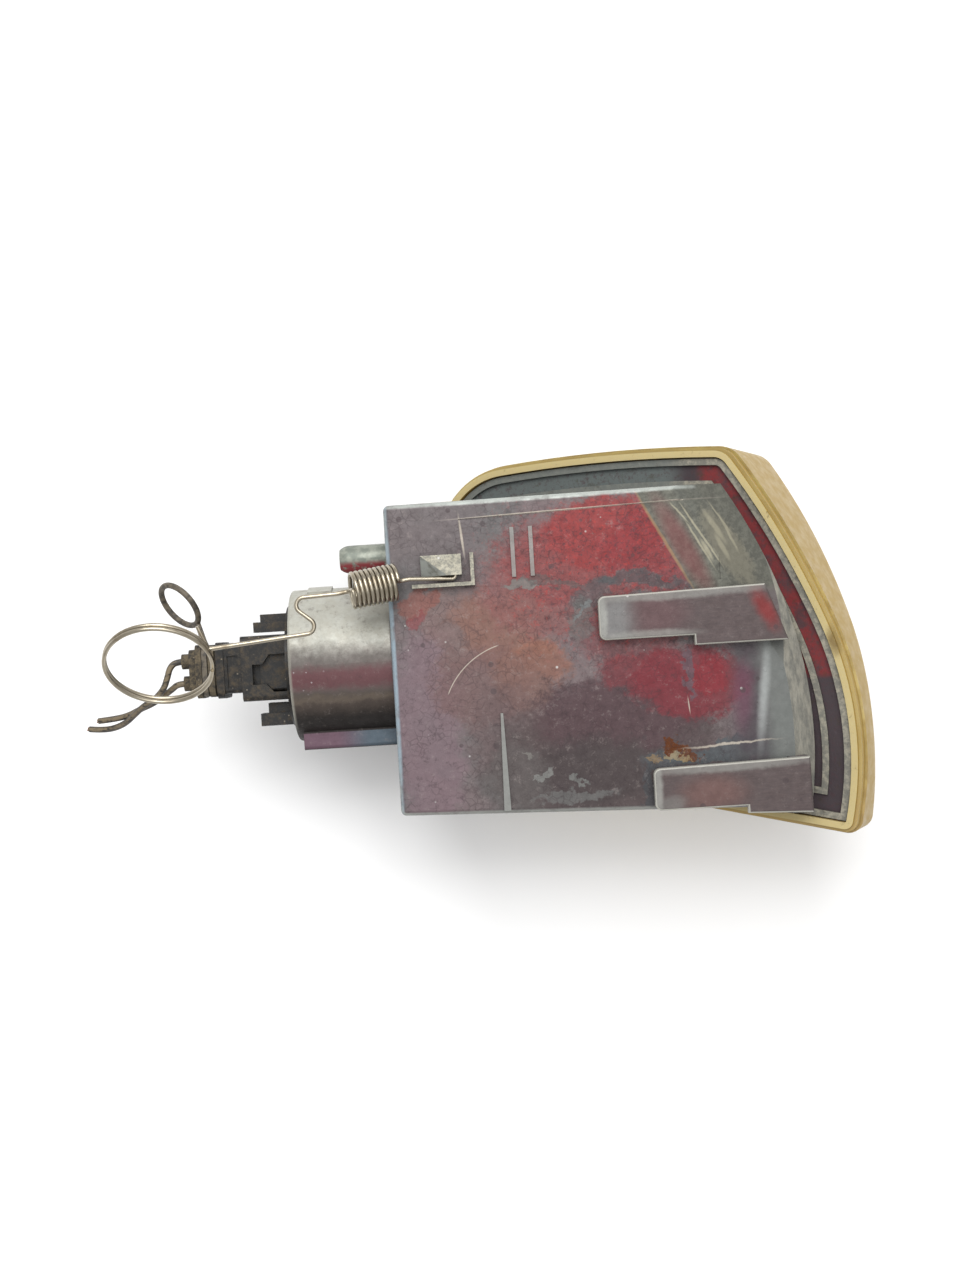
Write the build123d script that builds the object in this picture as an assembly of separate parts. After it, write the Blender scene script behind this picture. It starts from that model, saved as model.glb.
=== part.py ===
from build123d import *
import os
from math import cos, pi, radians, sin, tan

# Front corner turn signal lamp, lying on its lens with its flat inboard face up. Millimetres.
# The datum: X runs from the rear wall (0) to the front, Y is 0 on the bulb axis, and Z is 0 on
# the surface that the lens rests on. The last step moves X and Y so that the origin is the
# middle of the lamp's box, without its two leads.

# Box of the housing
FACE_Z = 72.0            # inboard face
FLOOR_Z = 14.0           # underside of the box behind the lens
WALL = 2.2               # moulded wall
REAR_LOW_Y, REAR_HIGH_Y = -46.8, 46.6
FRONT_LOW_Y = -51.2
LOW_SIDE_LEAN = 0.33     # the lower side leans in, this much for each unit of depth
FRONT_SLOPE_RUN, FRONT_SLOPE_DROP = 7.0, 5.5

# Rim plane, in which lens and flange meet
RIM_TILT = 27.0
RIM_POINT = (22.0, 0.0, 12.0)
RIM_LEFT = -10.0
RIM_HIGH, RIM_LOW = 60.2, -61.6
RIM_LOW_REAR = -36.0     # the lower edge rises towards the rear
LENS_WALL = 2.6
LENS_FRONT_R = 67.0      # big front round of the lens
LENS_FRONT_X = 80.0      # where that round starts
LENS_EDGE_R, LENS_INNER_EDGE_R = 5.0, 2.0
FLANGE_TOP, FLANGE_UNDER = -2.2, -4.4
FLANGE_INSET = 4.2

# Insertion tongues, locating pin and catch on the housing
TONGUE_UNDER, TONGUE_TOP, TONGUE_EDGE_R = 74.7, 77.3, 0.7
LOCATOR_Y, LOCATOR_Z, LOCATOR_R, LOCATOR_END = 32.0, 55.0, 4.3, -12.0
LIP_TOP = 75.0           # low wall beside the catch

# Bulb axis, tube and bayonet
AXIS_Z = 45.0
TUBE_R, TUBE_BORE_R, TUBE_END_X = 23.8, 21.5, -31.6
SEAT_X0, SEAT_X1, SEAT_BORE_R = -24.0, -21.5, 17.0
TAB_R, KEEPER_R, DISC_R = 21.1, 19.4, 19.0
TAB_X0, TAB_X1 = -29.0, -26.4
TWIST = 45.0             # turn from locked to free
TAB_WIDTH = 34.0         # degrees
STOP_GAP = 0.6           # degrees between a tab and its stop

# Bulb
GLASS_R, GLASS_X = 12.5, 16.5
CAP_R, CAP_X0, CAP_X1 = 7.5, -22.0, -4.0
FILAMENT_X = 16.8
PIN_X, PIN_R, PIN_REACH = -15.0, 0.9, 8.9
PUSH = 2.0               # bulb travel against the contact spring
SLEEVE_R0, SLEEVE_R1 = 7.6, 8.2

# Reflector paraboloid
FOCUS = 14.0
VERTEX_X = FILAMENT_X - FOCUS
REFLECTOR_WALL = 1.6

# Plug
PLUG_X0, PLUG_X1 = -48.0, -33.6
PLUG_Y, PLUG_Z = 10.2, 8.4
SHROUD_X0, SHROUD_Y, SHROUD_Z = -42.4, 7.6, 6.3
BLADE_Y = 4.0

# Wire tie on the boot
TIE_R = 0.95
TIE_LOOP_MIDDLE, TIE_LOOP_R = Vector(-67.3, 21.3, 46.0), 7.7
TIE_TILT, TIE_TURN = 55.0, 42.0
TIE_FOOT = Vector(-59.8, 7.8, 46.5)

# Spring and ring
WIRE_R = 0.65
HOOK = Vector(20.6, 23.4, 74.6)
COIL_R, COIL_TURNS, COIL_PITCH = 5.0, 10, 1.38
COIL_MIDDLE = Vector(-3.6, 22.35, 79.4)
COIL_RISE, COIL_YAW = 11.0, 8.4
RING_R, RING_TILT, RING_PITCH, RING_TURNS = 15.85, 47.5, 1.45, 1.94
RING_MIDDLE = Vector(-68.7, 4.2, 77.0)
RING_JOIN = 14.0         # degrees round the ring where the arm meets it

# Leads
LEAD_R = 1.0
LEAD_LIVE = [(-67.6, 3.4, 45.8), (-69.9, 3.4, 45.8), (-71.7, 1.7, 46.0), (-72.6, -1.2, 45.8),
             (-74.2, -4.9, 44.8), (-77.6, -7.9, 42.6), (-81.9, -9.9, 39.9), (-85.8, -12.7, 36.6),
             (-89.6, -15.4, 33.0), (-94.4, -17.0, 29.4), (-99.4, -17.3, 26.6), (-103.2, -16.9, 25.2)]
LEAD_EARTH = [(-67.6, -3.6, 43.6), (-69.9, -3.6, 43.6), (-71.9, -5.1, 42.6), (-75.4, -7.2, 40.6),
              (-79.2, -9.4, 38.0), (-84.0, -11.0, 35.4), (-88.6, -13.0, 32.8), (-94.0, -13.9, 29.9),
              (-99.4, -14.3, 27.5)]

RIM = Plane(origin=RIM_POINT, x_dir=(cos(radians(RIM_TILT)), 0, sin(radians(RIM_TILT))),
            z_dir=(-sin(radians(RIM_TILT)), 0, cos(radians(RIM_TILT))))
FAR = 200.0


# ---------------------------------------------------------------- helpers
def block(x0, x1, y0, y1, z0, z1):
    """A square block between two corners."""
    return Pos((x0 + x1) / 2, (y0 + y1) / 2, (z0 + z1) / 2) * Box(x1 - x0, y1 - y0, z1 - z0)


def round_block(x0, x1, y0, y1, z0, z1, r):
    """A block with its four long edges along X rounded."""
    body = block(x0, x1, y0, y1, z0, z1)
    return fillet(body.edges().filter_by(Axis.X), r)


def rod(start, end, r):
    """A round rod from point to point."""
    start, end = Vector(start), Vector(end)
    place = Plane(origin=start, z_dir=end - start)
    return place * Cylinder(r, (end - start).length, align=(Align.CENTER, Align.CENTER, Align.MIN))


def rod_x(x0, x1, r, y=0.0, z=AXIS_Z):
    """A round rod along X, on the bulb axis unless it is told otherwise."""
    return rod((x0, y, z), (x1, y, z), r)


def ring_x(x0, x1, r_in, r_out):
    return rod_x(x0, x1, r_out) - rod_x(x0 - 1, x1 + 1, r_in)


def sector_x(x0, x1, r_in, r_out, middle, width):
    """A piece of ring round the bulb axis; angles in degrees from +Y towards +Z."""
    half = width / 2
    points = [(0, 0)]
    for k in range(5):
        angle = radians(middle - half + k * width / 4)
        points.append((2 * r_out * cos(angle), 2 * r_out * sin(angle)))
    plane = Plane(origin=(x0, 0, AXIS_Z), x_dir=(0, 1, 0), z_dir=(1, 0, 0))
    wedge = extrude(plane * Polygon(*points, align=None), x1 - x0, dir=(1, 0, 0))
    return ring_x(x0, x1, r_in, r_out) & wedge


def prism(points, z0, z1):
    """An upright block on an outline of (X, Y) points."""
    return extrude(Plane.XY.offset(z0) * Polygon(*points, align=None), z1 - z0, dir=(0, 0, 1))


def tube(points, r, radii):
    """A round bar along straight runs with rounded bends, and its length."""
    path = FilletPolyline(*points, radius=radii)
    section = Plane(origin=path @ 0, z_dir=path % 0) * Circle(r)
    return sweep(section, path=path), path.length


def helix_tube(plane, pitch, turns, radius, r):
    """A round wire wound on the plane's normal."""
    path = plane * Helix(pitch, pitch * turns, radius)
    section = Plane(origin=path @ 0, z_dir=path % 0) * Circle(r)
    return sweep(section, path=path, is_frenet=True)


def above_plane(a, b, c):
    """Everything above the plane through three points."""
    a, b, c = Vector(a), Vector(b), Vector(c)
    normal = (b - a).cross(c - a)
    normal = normal * -1 if normal.Z < 0 else normal
    return Plane(origin=a, z_dir=normal) * Pos(0, 0, FAR / 2) * Box(FAR, FAR, FAR)


def union(first, *rest):
    for piece in rest:
        first = first + piece
    return first


# ---------------------------------------------------------------- rim outline, lens, seal
def rim_outline(inset=0.0):
    """The lamp's outline in the rim plane: bowed top, curved sloping front, lower edge rising rearwards."""
    left_low, left_high = (RIM_LEFT, RIM_LOW_REAR), (RIM_LEFT, RIM_HIGH)
    high_corner, front, low_corner = (95.5, 60.4), (125.3, 4.0), (128.3, RIM_LOW)
    front_arc = ThreePointArc(high_corner, (113.2, 31.0), front)
    edges = [Line(left_low, left_high), ThreePointArc(left_high, (42.0, 63.2), high_corner),
             front_arc, TangentArc(front, low_corner, tangent=front_arc % 1),
             Line(low_corner, left_low)]
    face = make_face(edges)
    face = offset(face, -inset) if inset else face
    for corner, r in ((left_high, 28.0), (left_low, 22.0), (high_corner, 9.0), (low_corner, 4.5)):
        if r - inset > 0.3:
            vertex = face.vertices().sort_by_distance(Vector(*corner))[0]
            face = fillet(vertex, r - inset)
    return face


def rim_slab(inset, w0, w1):
    """The outline as a slab between two heights over the rim plane."""
    return extrude(RIM.offset(w0) * rim_outline(inset), w1 - w0, dir=RIM.z_dir)


def rim_ring(inset_out, inset_in, w0, w1):
    return rim_slab(inset_out, w0, w1) - rim_slab(inset_in, w0 - 1, w1 + 1)


def lens_block(inset, top, edge_r):
    """The lens form: skirt square to the rim, flat side, big round to the front."""
    right = LENS_FRONT_X + LENS_FRONT_R - inset
    round_end = (right, LENS_FRONT_R)
    turn = cos(radians(45)) * (LENS_FRONT_R - inset)
    edges = [Line((-60, inset), (LENS_FRONT_X, inset)),
             ThreePointArc((LENS_FRONT_X, inset), (LENS_FRONT_X + turn, LENS_FRONT_R - turn), round_end),
             Line(round_end, (right, 120)), Line((right, 120), (-60, 120)), Line((-60, 120), (-60, inset))]
    profile = extrude(Plane.XZ * make_face(edges), 100, both=True)
    body = rim_slab(inset, -110, top) & profile
    normal = RIM.z_dir
    edges = [e for e in body.edges()
             if RIM.to_local_coords(e.center()).Z < top - 1 and abs((e % 0.5).dot(normal)) < 0.9]
    return fillet(edges, edge_r)


def make_lens():
    """Lens shell with its rim, two inner lips and the seat of the sealant."""
    shell = lens_block(0.0, -4.5, LENS_EDGE_R) + rim_slab(0.8, -4.6, -1.0)
    shell = shell - lens_block(LENS_WALL, 2.0, LENS_INNER_EDGE_R)
    return union(shell, rim_ring(1.8, 3.8, -7.5, 0.6), rim_ring(1.8, 6.6, -7.5, -5.5))


def make_sealant():
    """Bead that glues the flange into the rim of the lens."""
    return rim_ring(3.8, 6.2, -5.5, -4.4) + rim_ring(3.8, FLANGE_INSET, -4.4, -2.6)


# ---------------------------------------------------------------- housing
def box_outline(inset):
    """The box of the housing as seen from above, with a curved front."""
    rear_low, rear_high = (0.0, REAR_LOW_Y), (0.0, REAR_HIGH_Y)
    high, front, low = (102.5, 47.6), (121.5, 5.0), (124.5, FRONT_LOW_Y)
    front_arc = ThreePointArc(high, (113.5, 27.2), front)
    edges = [Line(rear_low, rear_high), Line(rear_high, high), front_arc,
             TangentArc(front, low, tangent=front_arc % 1), Line(low, rear_low)]
    face = make_face(edges)
    return offset(face, -inset) if inset else face


def facet_cut(drop):
    """Everything above the slanting facet at the box's upper front corner."""
    return above_plane((86, 48, FACE_Z - drop), (105, 14, FACE_Z - drop), (109, 45, 64.5 - drop))


def low_side_cut(inset):
    """Everything outside the leaning lower side of the box."""
    along = Vector(124.5, FRONT_LOW_Y - REAR_LOW_Y, 0)
    down = Vector(0, LOW_SIDE_LEAN, -1)
    outward = along.cross(down).normalized()
    if outward.Y > 0:
        outward = outward * -1
    start = Vector(0, REAR_LOW_Y, FACE_Z - 6.0) - outward * inset
    return Plane(origin=start, z_dir=outward) * Pos(0, 0, FAR / 2) * Box(2 * FAR, 2 * FAR, FAR)


def box_block(inset, edge_r):
    """The box of the housing, or with an inset the room inside it."""
    top = FACE_Z - inset
    floor = Plane.XY.offset(FLOOR_Z + inset)
    body = extrude(floor * box_outline(inset), top - FLOOR_Z - inset, dir=(0, 0, 1))
    roof = body.faces().sort_by(Axis.Z)[-1]
    front = [e for e in roof.edges() if e.geom_type == GeomType.CIRCLE]
    body = chamfer(front, FRONT_SLOPE_RUN, FRONT_SLOPE_DROP, reference=roof)
    body = body - facet_cut(inset) - low_side_cut(inset)
    if edge_r:
        rear = body.edges().filter_by(Axis.Z).sort_by(Axis.X)[:2]
        body = fillet(rear, edge_r)
        roof = body.faces().filter_by(Axis.Z).sort_by(Axis.Z)[-1]
        body = fillet(roof.edges().filter_by(lambda e: abs(e.center().Z - top) < 0.01
                                             and e.center().X < 90), edge_r)
    return body


def tongue(left, y_low, y_high, right_high, right_low, step_x, step_y):
    """A flat insertion tongue, free at its left end and rooted at its right end."""
    outline = [(left, y_low), (left, y_high), right_high, right_low, (step_x, step_y), (step_x, y_low)]
    plate = prism(outline, TONGUE_UNDER, TONGUE_TOP)
    plate = fillet(plate.edges().filter_by(Axis.Z).sort_by(Axis.X)[:2], 2.0)
    plate = fillet(plate.faces().sort_by(Axis.Z)[-1].edges(), TONGUE_EDGE_R)
    foot = [(right_high[0] - 6, right_high[1]), right_high, right_low, (right_low[0] - 6, right_low[1])]
    return plate + prism(foot, 60.0, TONGUE_TOP - 1.3)


def make_catch():
    """Hood with a steep corner facet and the cross bore for the spring hook, and the lip wall beside it."""
    hood = block(10.4, 22.6, 24.4, 30.6, 71.5, 77.2)
    hood = hood - above_plane((10.4, 30.6, 76.2), (18.2, 24.4, 77.0), (10.4, 24.4, 72.5))
    hood = hood - above_plane((10.4, 30.6, 76.2), (18.2, 24.4, 77.0), (22.6, 30.6, 76.6))
    hood = hood - rod((HOOK.X, 24.0, HOOK.Z), (HOOK.X, 29.6, HOOK.Z), WIRE_R + 0.06)
    lip = block(7.5, 26.3, 21.1, 22.2, 71.5, LIP_TOP) + block(25.2, 26.3, 22.2, 30.9, 71.5, LIP_TOP)
    return hood + lip


def make_tube():
    """Rear tube with seat ring, three keepers, their stops and the flat rib below."""
    outside = rod_x(TUBE_END_X, 0.5, TUBE_R)
    outside = fillet(outside.edges().sort_by(Axis.X)[0], 0.9)
    body = outside - rod_x(TUBE_END_X - 1, 2, TUBE_BORE_R)
    body = body + ring_x(SEAT_X0, SEAT_X1, SEAT_BORE_R, TUBE_R - 1)
    rib = round_block(-29.4, 0.5, -26.2, -18.0, 30.0, 57.0, 1.2)
    body = body + (rib - rod_x(-31, 3, TUBE_BORE_R + 1))
    body = body + sector_x(-26.0, -18.5, TUBE_R - 0.8, TUBE_R + 0.7, 14.0, 16.0)
    for k in range(3):
        middle = 90.0 + 120.0 * k
        body = body + sector_x(TUBE_END_X, TAB_X0 - 0.3, KEEPER_R, TUBE_BORE_R + 0.5, middle, TAB_WIDTH)
    stop_width = 120.0 - TAB_WIDTH - TWIST - 2 * STOP_GAP
    stop_middle = 90.0 + TAB_WIDTH / 2 + STOP_GAP + stop_width / 2
    return body + sector_x(TAB_X0 - 0.3, SEAT_X0 - 1.6, KEEPER_R + 0.2, TUBE_BORE_R + 0.5,
                           stop_middle, stop_width)


def face_trim():
    """Two low ribs and a long drip of a rib on the inboard face."""
    ribs = union(*(block(x, x + 1.2, 22.9, 37.9, FACE_Z - 1, FACE_Z + 0.2) for x in (37.6, 43.2)))
    drip = [(31.0, -47.0), (33.1, -47.0), (32.4, -17.7), (31.6, -17.7)]
    return ribs + prism(drip, FACE_Z - 1, FACE_Z + 0.9)


def make_locator():
    """Round-ended pin on the rear wall, beside the tube."""
    end = Pos(LOCATOR_END, LOCATOR_Y, LOCATOR_Z) * Sphere(LOCATOR_R)
    reach = (LOCATOR_Y - 6, LOCATOR_Y + 6, LOCATOR_Z - 6, LOCATOR_Z + 6)
    return rod_x(LOCATOR_END, 1.0, LOCATOR_R, LOCATOR_Y, LOCATOR_Z) + (end & block(-15.0, -11.0, *reach))


def make_housing():
    """Box, flange, tongues, tube, catch and pin in one moulding, hollow behind the lens."""
    above_rim = RIM.offset(FLANGE_UNDER) * Pos(0, 0, FAR / 2) * Box(2 * FAR, 2 * FAR, FAR)
    body = box_block(0.0, 1.7) & above_rim
    body = body - prism([(23.2, 20.6), (22.4, 41.2), (100.0, 43.4), (100.0, 18.4)], FACE_Z - 0.5, FACE_Z + 1)
    flange = union(rim_slab(FLANGE_INSET, FLANGE_UNDER, FLANGE_TOP),
                   rim_ring(FLANGE_INSET, FLANGE_INSET + 2.0, FLANGE_TOP - 0.5, -0.7),
                   rim_ring(11.0, 13.0, FLANGE_TOP - 0.5, -1.2))
    upper_tongue = tongue(62.4, 2.2, 15.3, (112.3, 16.3), (118.4, -0.8), 90.5, -0.8)
    lower_tongue = tongue(75.9, -49.3, -36.8, (122.6, -35.8), (122.8, -52.4), 103.4, -51.6)
    body = union(body, flange, upper_tongue, lower_tongue)
    body = union(body, make_tube(), make_catch(), face_trim(), make_locator())
    return body - box_block(WALL, 0.0) - rod_x(-3.0, 4.0, 15.0)


def make_reflector():
    """Tray with a paraboloid back, standing 0.4 mm clear inside the box."""
    def bowl(grow):
        points = []
        for k in range(9):
            r = 7.5 * k
            points.append((VERTEX_X - grow + r * r / (4 * FOCUS), r))
        curve = Spline(*points)
        edges = [curve, Line(curve @ 1, (150, points[-1][1])), Line((150, points[-1][1]), (150, 0)),
                 Line((150, 0), points[0])]
        side = make_face(edges)
        return Pos(0, 0, AXIS_Z) * revolve(Plane.XY * side, Axis.X)
    above_rim = RIM.offset(-3.4) * Pos(0, 0, FAR / 2) * Box(2 * FAR, 2 * FAR, FAR)
    outer = box_block(WALL + 0.4, 0.0) & bowl(REFLECTOR_WALL)
    body = (outer - (box_block(WALL + 0.4 + REFLECTOR_WALL, 0.0) & bowl(0.0))) & above_rim
    body = body - rod_x(-3.0, 12.0, 13.6)
    pad_z = FACE_Z - WALL
    for x in (40.0, 90.0):
        for y in (-34.0, 10.0):
            body = body + rod((x, y, pad_z - 1.2), (x, y, pad_z), 2.5)
    return body


# ---------------------------------------------------------------- bulb
def make_bulb_glass():
    """Blown envelope, open at its neck, where the stem's flare closes it."""
    def envelope(inset, neck_x):
        return Pos(GLASS_X, 0, AXIS_Z) * Sphere(GLASS_R - inset) + rod_x(neck_x, 9.0, 6.8 - inset)
    return envelope(0.0, -8.0) - envelope(0.8, -9.0)


def make_bulb_cap():
    """Bayonet cap with its two pins."""
    body = ring_x(CAP_X0, CAP_X1, CAP_R - 0.6, CAP_R)
    for side in (-1, 1):
        body = body + rod((PIN_X, side * (CAP_R - 0.4), AXIS_Z), (PIN_X, side * PIN_REACH, AXIS_Z), PIN_R)
    return body


def make_bulb_stem():
    """Glass stem with its flare, cut out for the support wires."""
    return union(rod_x(-19.0, -4.0, 1.6), rod_x(-8.0, -6.8, 5.95), rod_x(-4.2, 3.0, 2.4)) - make_supports()


def make_filament():
    """Coiled filament across the bulb."""
    plane = Plane(origin=(FILAMENT_X, -4.0, AXIS_Z), x_dir=(1, 0, 0), z_dir=(0, 1, 0))
    return helix_tube(plane, 0.8, 10, 0.6, 0.16)


def make_supports():
    """Two support wires from the stem to the ends of the filament."""
    legs = []
    for side in (-1, 1):
        leg = rod((-2.0, side * 1.4, AXIS_Z), (FILAMENT_X + 0.6, side * 4.6, AXIS_Z), 0.3)
        legs += leg.solids()
    return Compound(legs)


def make_insulator():
    """Black glass disc that closes the cap."""
    return rod_x(-22.3, -20.5, CAP_R - 0.6) - rod_x(-24.0, -19.0, 2.0)


def make_contact():
    """Solder contact in the middle of the insulator."""
    return rod_x(-22.6, -19.6, 2.0)


# ---------------------------------------------------------------- bulb holder
def make_holder():
    """Quarter-turn disc with tabs, ears, plug shroud and the collar round the sleeve."""
    body = rod_x(-33.0, -26.0, DISC_R)
    for k in range(3):
        body = body + sector_x(TAB_X0, TAB_X1, DISC_R - 1.0, TAB_R, 90.0 + 120.0 * k, TAB_WIDTH)
    body = body + rod_x(-26.0, -15.0, 10.8)
    body = body - rod_x(-31.0, -25.0, SLEEVE_R1) - rod_x(-27.0, -10.0, 9.3)
    shroud = block(SHROUD_X0, -32.5, -SHROUD_Y, SHROUD_Y, AXIS_Z - SHROUD_Z, AXIS_Z + SHROUD_Z)
    shroud = fillet(shroud.edges().filter_by(Axis.X), 1.2)
    shroud = shroud - block(-50.0, -33.0, 1.3 - SHROUD_Y, SHROUD_Y - 1.3,
                            AXIS_Z - SHROUD_Z + 1.3, AXIS_Z + SHROUD_Z - 1.3)
    upper_ear = union(block(-44.2, -32.5, 11.2, 14.4, AXIS_Z - 3.5, AXIS_Z + 3.5),
                      block(-42.0, -32.5, 14.2, 16.8, AXIS_Z - 2.6, AXIS_Z + 2.6))
    lower_ear = union(block(-41.0, -32.5, -14.6, -11.2, AXIS_Z - 2.4, AXIS_Z + 2.4),
                      block(-43.4, -32.5, -18.3, -14.4, AXIS_Z - 3.6, AXIS_Z + 3.6))
    body = union(body, shroud, upper_ear, lower_ear)
    for side in (-1, 1):
        y = side * BLADE_Y
        body = body - block(-34.0, -30.0, y - 1.4, y + 1.4, AXIS_Z - 0.4, AXIS_Z + 0.4)
    return body


def make_holder_seal():
    """Flat rubber ring between the holder and its seat."""
    return ring_x(-26.0, SEAT_X0 - 0.05, 17.2, DISC_R)


def make_sleeve():
    """Metal sleeve with two J slots for the bulb's pins."""
    body = ring_x(-30.4, -8.0, SLEEVE_R0, SLEEVE_R1)
    slot = PIN_R + 0.25
    for side in (0, 180):
        spin = Pos(0, 0, AXIS_Z) * Rot(side, 0, 0) * Pos(0, 0, -AXIS_Z)
        hook = block(PIN_X - PUSH - slot, PIN_X + slot, 6.0, 9.5, AXIS_Z - slot, AXIS_Z + slot)
        cross = sector_x(PIN_X - PUSH - slot, PIN_X - PUSH + slot, 6.8, 9.0, 18.0, 48.0)
        entry = sector_x(PIN_X - PUSH - slot, -7.0, 6.8, 9.0, 34.0, 17.0)
        body = body - spin * hook - spin * cross - spin * entry
    return body


def make_plunger():
    """Contact disc that the spring presses on the bulb."""
    return union(rod_x(-24.2, -23.1, 7.3), rod_x(-25.0, -22.65, 1.7))


def make_contact_spring():
    """Spring behind the contact disc."""
    plane = Plane(origin=(-30.2, 0, AXIS_Z), x_dir=(0, 1, 0), z_dir=(1, 0, 0))
    return helix_tube(plane, 1.14, 5, 2.3, 0.2)


def make_blade(side):
    """Contact blade of the holder, with its foot on the spring or on the sleeve."""
    tab = block(-41.0, -30.4, side * BLADE_Y - 1.35, side * BLADE_Y + 1.35, AXIS_Z - 0.35, AXIS_Z + 0.35)
    if side > 0:
        return tab + (rod_x(-31.0, -30.45, 3.0) & block(-32, -30, -2.5, 4.0, 40, 50))
    return tab + (block(-31.0, -30.45, -8.1, -3.2, AXIS_Z - 1.4, AXIS_Z + 1.4) & rod_x(-32, -30, 8.15))


# ---------------------------------------------------------------- plug
def make_plug():
    """Plug housing that slides over the holder's shroud, with its latch window."""
    body = round_block(PLUG_X0, PLUG_X1, -PLUG_Y, PLUG_Y, AXIS_Z - PLUG_Z, AXIS_Z + PLUG_Z, 1.6)
    body = body - block(-45.6, PLUG_X1 + 1, -8.0, 8.0, AXIS_Z - 6.7, AXIS_Z + 6.7)
    window = [(-44.6, -5.1), (-40.4, -5.1), (-38.2, -7.6), (-30.0, -7.6), (-30.0, 4.2), (-39.2, 4.2),
              (-41.4, 1.2), (-44.6, 1.2)]
    body = body - prism(window, AXIS_Z + 6.0, AXIS_Z + PLUG_Z + 1)
    core = block(-46.0, -35.2, -5.9, 5.9, AXIS_Z - 4.6, AXIS_Z + 4.6)
    neck = round_block(-53.6, PLUG_X0 + 0.1, -7.4, 8.4, AXIS_Z - 7.0, AXIS_Z + 7.0, 1.2)
    neck = neck - block(-52.6, -49.2, -5.6, 4.4, AXIS_Z + 6.2, AXIS_Z + 8)
    body = union(body, core, neck)
    for side in (-1, 1):
        y = side * BLADE_Y
        body = body - block(-49.0, -36.0, y - 1.9, y + 1.9, AXIS_Z - 1.2, AXIS_Z + 1.2)
        body = body - block(-37.0, -34.0, y - 1.5, y + 1.5, AXIS_Z - 0.6, AXIS_Z + 0.6)
        body = body - rod_x(-60.0, -48.0, 1.3, y)
    return body


def make_terminal(side):
    """Female terminal of the plug, crimped on a lead."""
    y = side * BLADE_Y
    body = block(-49.0, -36.0, y - 1.9, y + 1.9, AXIS_Z - 1.2, AXIS_Z + 1.2)
    body = body - block(-47.5, -35.0, y - 1.42, y + 1.42, AXIS_Z - 0.42, AXIS_Z + 0.42)
    return body + rod_x(-53.6, -48.9, 1.3, y)


def make_collar():
    """Stiff collar between the plug and its boot."""
    body = round_block(-56.0, -53.6, -8.8, 8.8, AXIS_Z - 7.6, AXIS_Z + 7.6, 2.5)
    return body - rod_x(-57, -53, 1.3, BLADE_Y) - rod_x(-57, -53, 1.3, -BLADE_Y)


def make_boot():
    """Ribbed rubber boot with one nozzle for each lead."""
    body = round_block(-64.8, -56.0, -7.0, 7.0, AXIS_Z - 5.6, AXIS_Z + 5.6, 2.5)
    for x0, grow in ((-58.6, 1.2), (-62.6, 1.4)):
        body = body + round_block(x0, x0 + 1.9, -7.0 - grow, 7.0 + grow, AXIS_Z - 5.6 - grow,
                                  AXIS_Z + 5.6 + grow, 3.2)
    for lead in (LEAD_LIVE, LEAD_EARTH):
        x, y, z = lead[0]
        body = body + rod((-64.0, y, z), (x, y, z), 2.4)
    return body


def make_tie_loop():
    """A wire tie laid round the boot, with its spare end beside it as a small loop."""
    band = (round_block(-60.6, -59.0, -8.0, 8.0, AXIS_Z - 6.6, AXIS_Z + 6.6, 3.0)
            - round_block(-61.0, -58.6, -7.02, 7.02, AXIS_Z - 5.62, AXIS_Z + 5.62, 2.5))
    tilt, turn = radians(TIE_TILT), radians(TIE_TURN)
    normal = Vector(-sin(tilt) * cos(turn), -sin(tilt) * sin(turn), cos(tilt))
    loop = Plane(origin=TIE_LOOP_MIDDLE, z_dir=normal) * Torus(TIE_LOOP_R, TIE_R)
    near_end = TIE_LOOP_MIDDLE + Vector(sin(turn), -cos(turn), 0) * TIE_LOOP_R
    return union(band, loop, rod(TIE_FOOT, near_end, TIE_R)) - make_boot()


def make_lead(points):
    """A lead as straight runs joined by tangent arcs; the length and radii are printed."""
    radii = []
    for a, b, c in zip(points, points[1:], points[2:]):
        before, after = Vector(b) - Vector(a), Vector(c) - Vector(b)
        turn = radians(before.get_angle(after))
        radii.append(0.45 * min(before.length, after.length) / tan(turn / 2))
    body, length = tube(points, LEAD_R, radii)
    return body, length, radii


# ---------------------------------------------------------------- spring and ring
COIL_AXIS = Vector(-cos(radians(COIL_YAW)) * cos(radians(COIL_RISE)),
                   -sin(radians(COIL_YAW)) * cos(radians(COIL_RISE)), sin(radians(COIL_RISE)))
COIL_HALF = COIL_PITCH * COIL_TURNS / 2
COIL_START = COIL_MIDDLE - COIL_AXIS * COIL_HALF
COIL_END = COIL_MIDDLE + COIL_AXIS * COIL_HALF
STUB = 2.0               # straight end of the coil on its axis


def make_coil():
    """Close-wound coil with a straight stub on its axis at each end."""
    plane = Plane(origin=COIL_START, x_dir=(0, 0, 1), z_dir=COIL_AXIS)
    body = helix_tube(plane, COIL_PITCH, COIL_TURNS, COIL_R, WIRE_R)
    for centre, way in ((COIL_START, -1), (COIL_END, 1)):
        turn_end = centre + plane.x_dir * COIL_R
        for corner in (turn_end, centre):
            body = body + Pos(*corner) * Sphere(WIRE_R + 0.04)
        stub_end = centre + COIL_AXIS * (way * STUB)
        body = union(body, rod(turn_end, centre, WIRE_R), rod(centre, stub_end, WIRE_R))
    return body


def make_hook():
    """End of the spring that hooks into the catch."""
    start = COIL_START - COIL_AXIS * STUB
    return tube([start, start - COIL_AXIS * 2.0, HOOK, HOOK + Vector(0, 5.6, 0)], WIRE_R, [3.0, 1.0])[0]


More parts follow.
